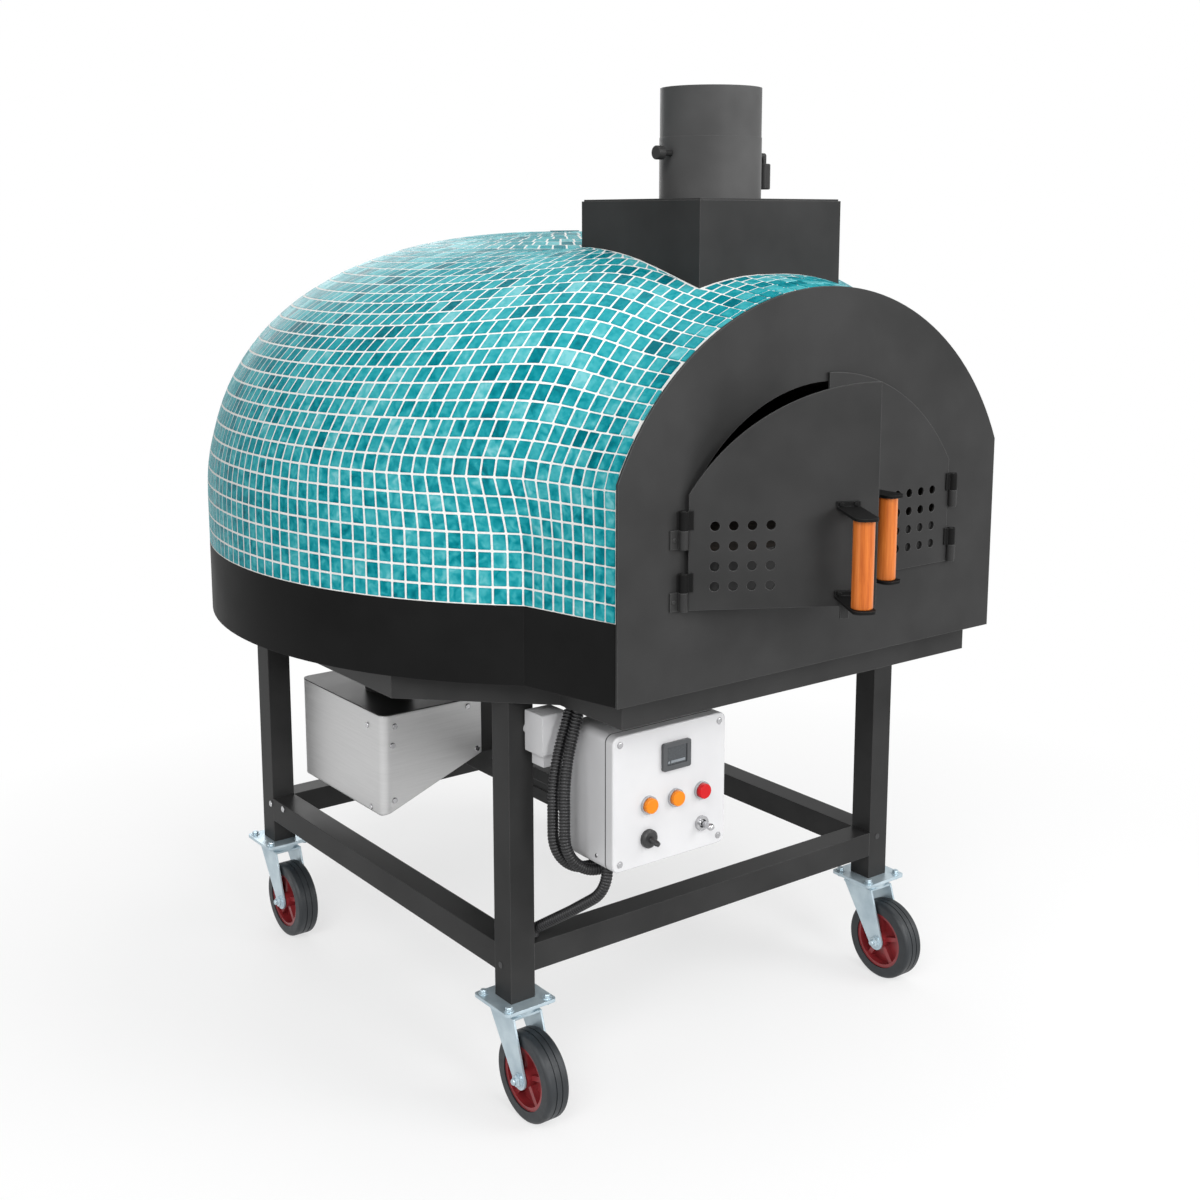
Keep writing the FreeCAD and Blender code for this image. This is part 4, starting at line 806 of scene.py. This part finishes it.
BOX_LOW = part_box("control_box")[0]
for letter, stray in (("a", 0.0), ("b", 0.008)):
    low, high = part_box("conduit_" + letter)
    y, r = (low.y + high.y) / 2, (high.y - low.y) / 2
    near, left, right, bottom = BOX_LOW.x - r - HOSE_GAP, low.x + r - stray, high.x - r, low.z + r
    conduit("corrugated_hose_" + letter, softened([
        ((near, y, high.z), 0), ((left, y, high.z - BOW_DROP), HOSE_BOW), ((left, y, bottom), HOSE_TURN),
        ((right, y, bottom), HOSE_EXIT), ((right, y, BOX_LOW.z), 0)]), "conduit_" + letter, r)
low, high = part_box("conduit_c")
top, foot = np.array((high.x - r, low.y + r, high.z)), np.array((low.x + r, high.y - r, low.z))
slack = (1 - TAIL_SHARE) * foot + TAIL_SHARE * top
slack[2] = high.z - TAIL_DROP
conduit("corrugated_hose_c", softened([
    (top, 0), (top - (0, 0, TAIL_OUT), HOSE_TURN), (slack, HOSE_BOW), (foot + (0, 0, TAIL_IN), HOSE_EXIT),
    (foot, 0)]), "conduit_c", r)


# Fasteners and small fittings

def capped(profile, place, axis, sides):
    """Turned surface with a flat cap on its last ring."""
    points, faces = turned(profile, place, axis, sides)
    return points, faces.tolist() + [list(range(len(points) - sides, len(points)))]


def stud(place, axis, radius, height, sides):
    """Fastener head: a short prism turned about its axis, drawn in at the top."""
    return capped([(radius, -SEAT), (radius, 0.7 * height), (0.8 * radius, height)], place, axis, sides)


def slab(low, high):
    """Box between two corners."""
    (x0, y0, z0), (x1, y1, z1) = low, high
    points = np.array([[x, y, z] for z in (z0, z1) for y in (y0, y1) for x in (x0, x1)])
    return points, [[0, 2, 3, 1], [4, 5, 7, 6], [0, 1, 5, 4], [2, 6, 7, 3], [0, 4, 6, 2], [1, 3, 7, 5]]


def fit(name, shapes, paint, body="oven"):
    """Small fittings of one kind as one piece."""
    points, faces = gathered(shapes)
    piece(name, points, faces, paint, body)


def corners_of(low, high, inset):
    """Four (x, z) corners set in from a box seen along Y."""
    return [(x, z) for x in (low.x + inset, high.x - inset) for z in (low.z + inset, high.z - inset)]


def on_left_door(shape):
    """A fitting of the right door carried to the left one: mirrored, then swung open about its hinge."""
    points, faces = shape
    x, y = -points[:, 0] - LEFT_HINGE[0], points[:, 1] - LEFT_HINGE[1]
    c, s = math.cos(LEFT_AJAR), math.sin(LEFT_AJAR)
    moved = np.stack([LEFT_HINGE[0] + c * x + s * y, LEFT_HINGE[1] - s * x + c * y, points[:, 2]], 1)
    return moved, [f[::-1] for f in faces]


def ribbon(low, high, radius, y, width, lift):
    """Flat band round a box with round upright edges, seen along Y."""
    turn = np.linspace(0, 2 * math.pi, PARTING_SHADE_STEPS, endpoint=False)
    corner = np.floor(turn / (math.pi / 2)).astype(int)
    middle_x = np.where((corner == 0) | (corner == 3), high.x - radius, low.x + radius)
    middle_z = np.where(corner < 2, high.z - radius, low.z + radius)
    x, z = middle_x + (radius + lift) * np.cos(turn), middle_z + (radius + lift) * np.sin(turn)
    rings = [np.stack([x, np.full_like(x, at), z], 1) for at in (y + width / 2, y - width / 2)]
    return np.concatenate(rings), grid_faces(2, PARTING_SHADE_STEPS, wrap_columns=True).tolist()


FORWARD, LEFTWARD, UPWARD = np.array((0, -1, 0)), np.array((-1, 0, 0)), np.array((0, 0, 1))
JOINTS = {joint["name"]: joint for joint in frame["record"]["behaviour"]["joints"]}
LEFT_HINGE = JOINTS["left_door_swing"]["pos_m"]
LEFT_AJAR = -math.radians(JOINTS["left_door_swing"]["range_deg"][0])

plate_low, plate_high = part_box("caster_plates")
bolts = []
for corner in CORNERS:
    leg_low, leg_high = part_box("leg_" + corner)
    x, y = (leg_low.x + leg_high.x) / 2, (leg_low.y + leg_high.y) / 2
    for dx, dy in ((-1, -1), (-1, 1), (1, -1), (1, 1)):
        head = np.array((x + PLATE_BOLT * dx, y + PLATE_BOLT * dy, plate_high.z))
        bolts += [stud(head, UPWARD, *WASHER), stud(head + ON_WASHER * UPWARD, UPWARD, *HEX_HEAD),
                  stud(head - (plate_high.z - plate_low.z) * UPWARD, -UPWARD, *HEX_HEAD)]
    axle, ends = np.array(JOINTS["roll_" + corner]["pos_m"]), []
    for side in (LEFTWARD, -LEFTWARD):
        cheek = axle + CHEEK * side
        ends += [stud(cheek, side, *AXLE_WASHER), stud(cheek + ON_AXLE_WASHER * side, side, *AXLE_NUT),
                 stud(cheek + ON_AXLE_NUT * side, side, *AXLE_TIP)]
    fit("axle_ends_" + corner, ends, ZINC, "caster_" + corner)
fit("caster_plate_bolts", bolts, ZINC)

door_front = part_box("right_door")[0].y
low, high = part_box("right_brackets")
tab_bolts = [stud(((low.x + high.x) / 2 + dx, door_front - TAB_T, z), FORWARD, *TAB_BOLT)
             for dx in (-TAB_BOLT_X, TAB_BOLT_X) for z in (low.z + TAB_BOLT_LOW, high.z - TAB_BOLT_HIGH)]
fit("right_tab_bolts", tab_bolts, SHADED_STEEL, "right_door")
fit("left_tab_bolts", [on_left_door(bolt) for bolt in tab_bolts], SHADED_STEEL, "left_door")
low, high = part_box("hinge_leaves")
leaf_screws = [stud((x, FACE_Y - LEAF_T, low.z + up), FORWARD, *LEAF_SCREW)
               for x in (low.x + LEAF_SCREW_X, high.x - LEAF_SCREW_X) for up in LEAF_SCREW_Z]
fit("leaf_screws", leaf_screws, STEEL, "oven")

low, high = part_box("control_lid")
lid_screws = []
for x, z in corners_of(low, high, LID_INSET):
    lid_screws.append(stud((x, low.y, z), FORWARD, *LID_RING))
    lid_screws.append(stud((x, low.y - ON_RING, z), FORWARD, *LID_SCREW))
fit("lid_screws", lid_screws, CHROME, "oven")
# painted shade: a thin black band round the lid's edge, along the shaded parting line between lid and box
points, faces = ribbon(low, high, LID_R, high.y, PARTING_SHADE_W, PARTING_SHADE_PROUD)
piece("lid_parting_shade", points, faces, BLACK_PLASTIC, "oven", smooth=True)

low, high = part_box("selector")
lid_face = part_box("control_lid")[0].y
knob = np.array(((low.x + high.x) / 2, lid_face, (low.z + high.z) / 2))
lever = capped(LEVER_PROFILE, knob + LEVER_FOOT * FORWARD, LEVER_WAY, LEVER_SIDES)
points, faces = gathered([stud(knob, FORWARD, *SELECTOR_DISC), lever])
piece("selector_lever", points, faces, BLACK_PLASTIC, "selector_knob",
      replaces=("selector",))

low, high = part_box("controller")
middle = np.array(((low.x + high.x) / 2, low.y + SCREEN_SUNK, (low.z + high.z) / 2))
fit("controller_screen", [slab(middle + SCREEN_LOW, middle + SCREEN_HIGH)], SCREEN, "oven")
fit("controller_bar", [slab(middle + start, middle + end) for start, end in SCREEN_BARS], SCREEN_GREY,
    "oven")
NODES["controller"].data.materials[0] = BEZEL

low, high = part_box("burner_housing")
rivets = [stud((x, low.y, z), FORWARD, *RIVET) for x, z in (
    (low.x + 0.0283, high.z - 0.0235), (low.x + 0.0222, high.z - 0.0625), (low.x + 0.0243, low.z + 0.0312),
    (high.x - 0.0108, low.z + 0.1000), (high.x - 0.0320, high.z - 0.0142))]
rivets += [stud((low.x, low.y + y, z), LEFTWARD, *RIVET) for y, z in (
    (0.0596, high.z - 0.0300), (0.0526, low.z + 0.0080))]
fit("burner_screws", rivets, CHROME, "oven")

front_left, front_right, rear_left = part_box("leg_fl")[0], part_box("leg_fr")[0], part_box("leg_rl")[0]
rail_low, rail_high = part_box("rail_left")
fit("frame_bolts", [
    stud((rear_left.x, rear_left.y + 0.0096, rail_high.z - 0.014), LEFTWARD, *FRAME_BOLT),
    stud((rail_low.x, rail_high.y - 0.0494, rail_high.z - 0.009), LEFTWARD, *FRAME_BOLT),
    stud((BOX_LOW.x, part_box("control_lid")[1].y + 0.024, BOX_LOW.z + 0.020), LEFTWARD, *BOX_SCREW)],
    CHROME, "oven")
fit("frame_plugs", [
    stud((front_right.x + 0.022, front_right.y, rail_high.z - 0.012), FORWARD, *FRAME_PLUG),
    stud((front_left.x, front_left.y + 0.031, rail_low.z + 0.013), LEFTWARD, *FRAME_PLUG)],
    BLACK_PLASTIC, "oven")


# Camera, light and floor

camera = bpy.data.objects.new("camera", bpy.data.cameras.new("camera"))
bpy.context.scene.collection.objects.link(camera)
camera.data.lens = 47.69
camera.data.sensor_width = 36
camera.data.shift_y = -0.0827
camera.location = (-1.8977, FACE_Y - 1.8756, 1.5464)
camera.rotation_euler = (math.radians(80), 0, math.radians(-37.2))
camera.data.clip_end = 60
bpy.context.scene.camera = camera
bpy.context.scene.view_settings.view_transform = "Standard"


def lamp(name, place, aim, size, watts):
    """Large soft panel of light pointed at a place."""
    light = bpy.data.lights.new(name, "AREA")
    light.shape, light.size, light.energy = "SQUARE", size, watts
    obj = bpy.data.objects.new(name, light)
    bpy.context.scene.collection.objects.link(obj)
    place, aim = np.array(place), np.array(aim)
    away = unit(place - aim)
    obj.location = place
    obj.rotation_euler = (math.acos(away[2]), 0, math.atan2(away[0], -away[1]))


lamp("key", (3.0, -4.6, 3.4), (0, 0, 1.0), size=3.0, watts=140)
lamp("front", (-0.6, -5.6, 2.4), (0, 0, 1.1), size=1.4, watts=115)
lamp("fill", (-4.4, -3.6, 4.6), (0, 0, 0.9), size=3.0, watts=210)
lamp("left", (-5.6, -0.6, 1.4), (0, 0, 0.8), size=2.0, watts=40)
lamp("top", (0.2, 0.4, 5.0), (0, 0.1, 1.0), size=3.4, watts=60)
lamp("rim", (1.0, 4.5, 2.8), (0, 0, 1.0), size=2.5, watts=40)

world = bpy.data.worlds.new("studio")
bpy.context.scene.world = world
world.use_nodes = True
around_us = node(world, "ShaderNodeTexCoord").outputs["Generated"]
facing = node(world, "ShaderNodeVectorMath", {0: around_us}, operation="DOT_PRODUCT")
facing.inputs[1].default_value = BRIGHT_SIDE
glow = world.node_tree.nodes["Background"]
strength = spread(world, facing.outputs["Value"], ROOM_DIM, ROOM_BRIGHT, -0.5, 0.9)
world.node_tree.links.new(strength, glow.inputs["Strength"])
glow.inputs["Color"].default_value = (1, 1, 1, 1)
seen = node(world, "ShaderNodeBackground", Color=(1, 1, 1, 1), Strength=1.0)
path = node(world, "ShaderNodeLightPath").outputs
direct = reckon(world, "MAXIMUM", path["Is Camera Ray"], path["Is Glossy Ray"])
direct = reckon(world, "MAXIMUM", direct, path["Is Transmission Ray"])
pick = node(world, "ShaderNodeMixShader", {0: direct, 1: glow.outputs[0], 2: seen.outputs[0]})
world.node_tree.links.new(pick.outputs[0], world.node_tree.nodes["World Output"].inputs["Surface"])

floor_mesh = bpy.data.meshes.new("floor")
turn = np.linspace(0, 2 * math.pi, FLOOR_SIDES, endpoint=False)
edge = FLOOR_R * np.stack([np.cos(turn), np.sin(turn), 0 * turn], 1)
floor_mesh.from_pydata(edge.tolist(), [], [list(range(FLOOR_SIDES))])
pale = finish("pale_floor", FLOOR_GREY, 0.9, Specular_IOR_Level=0.0, Emission_Color=(1, 1, 1, 1))
away = node(pale, "ShaderNodeVectorMath", {0: coordinates(pale)}, operation="LENGTH").outputs["Value"]
faded = spread(pale, away, 0, 1, FLOOR_FADE, FLOOR_R - FLOOR_RIM)
shade(pale, "Base Color", ramp(pale, faded, [(0, FLOOR_GREY), (1, (0, 0, 0))]))
shade(pale, "Emission Strength", spread(pale, away, FLOOR_GLOW, 1.0, FLOOR_FADE, FLOOR_R - FLOOR_RIM))
floor_mesh.materials.append(pale)
floor = bpy.data.objects.new("floor", floor_mesh)
bpy.context.scene.collection.objects.link(floor)
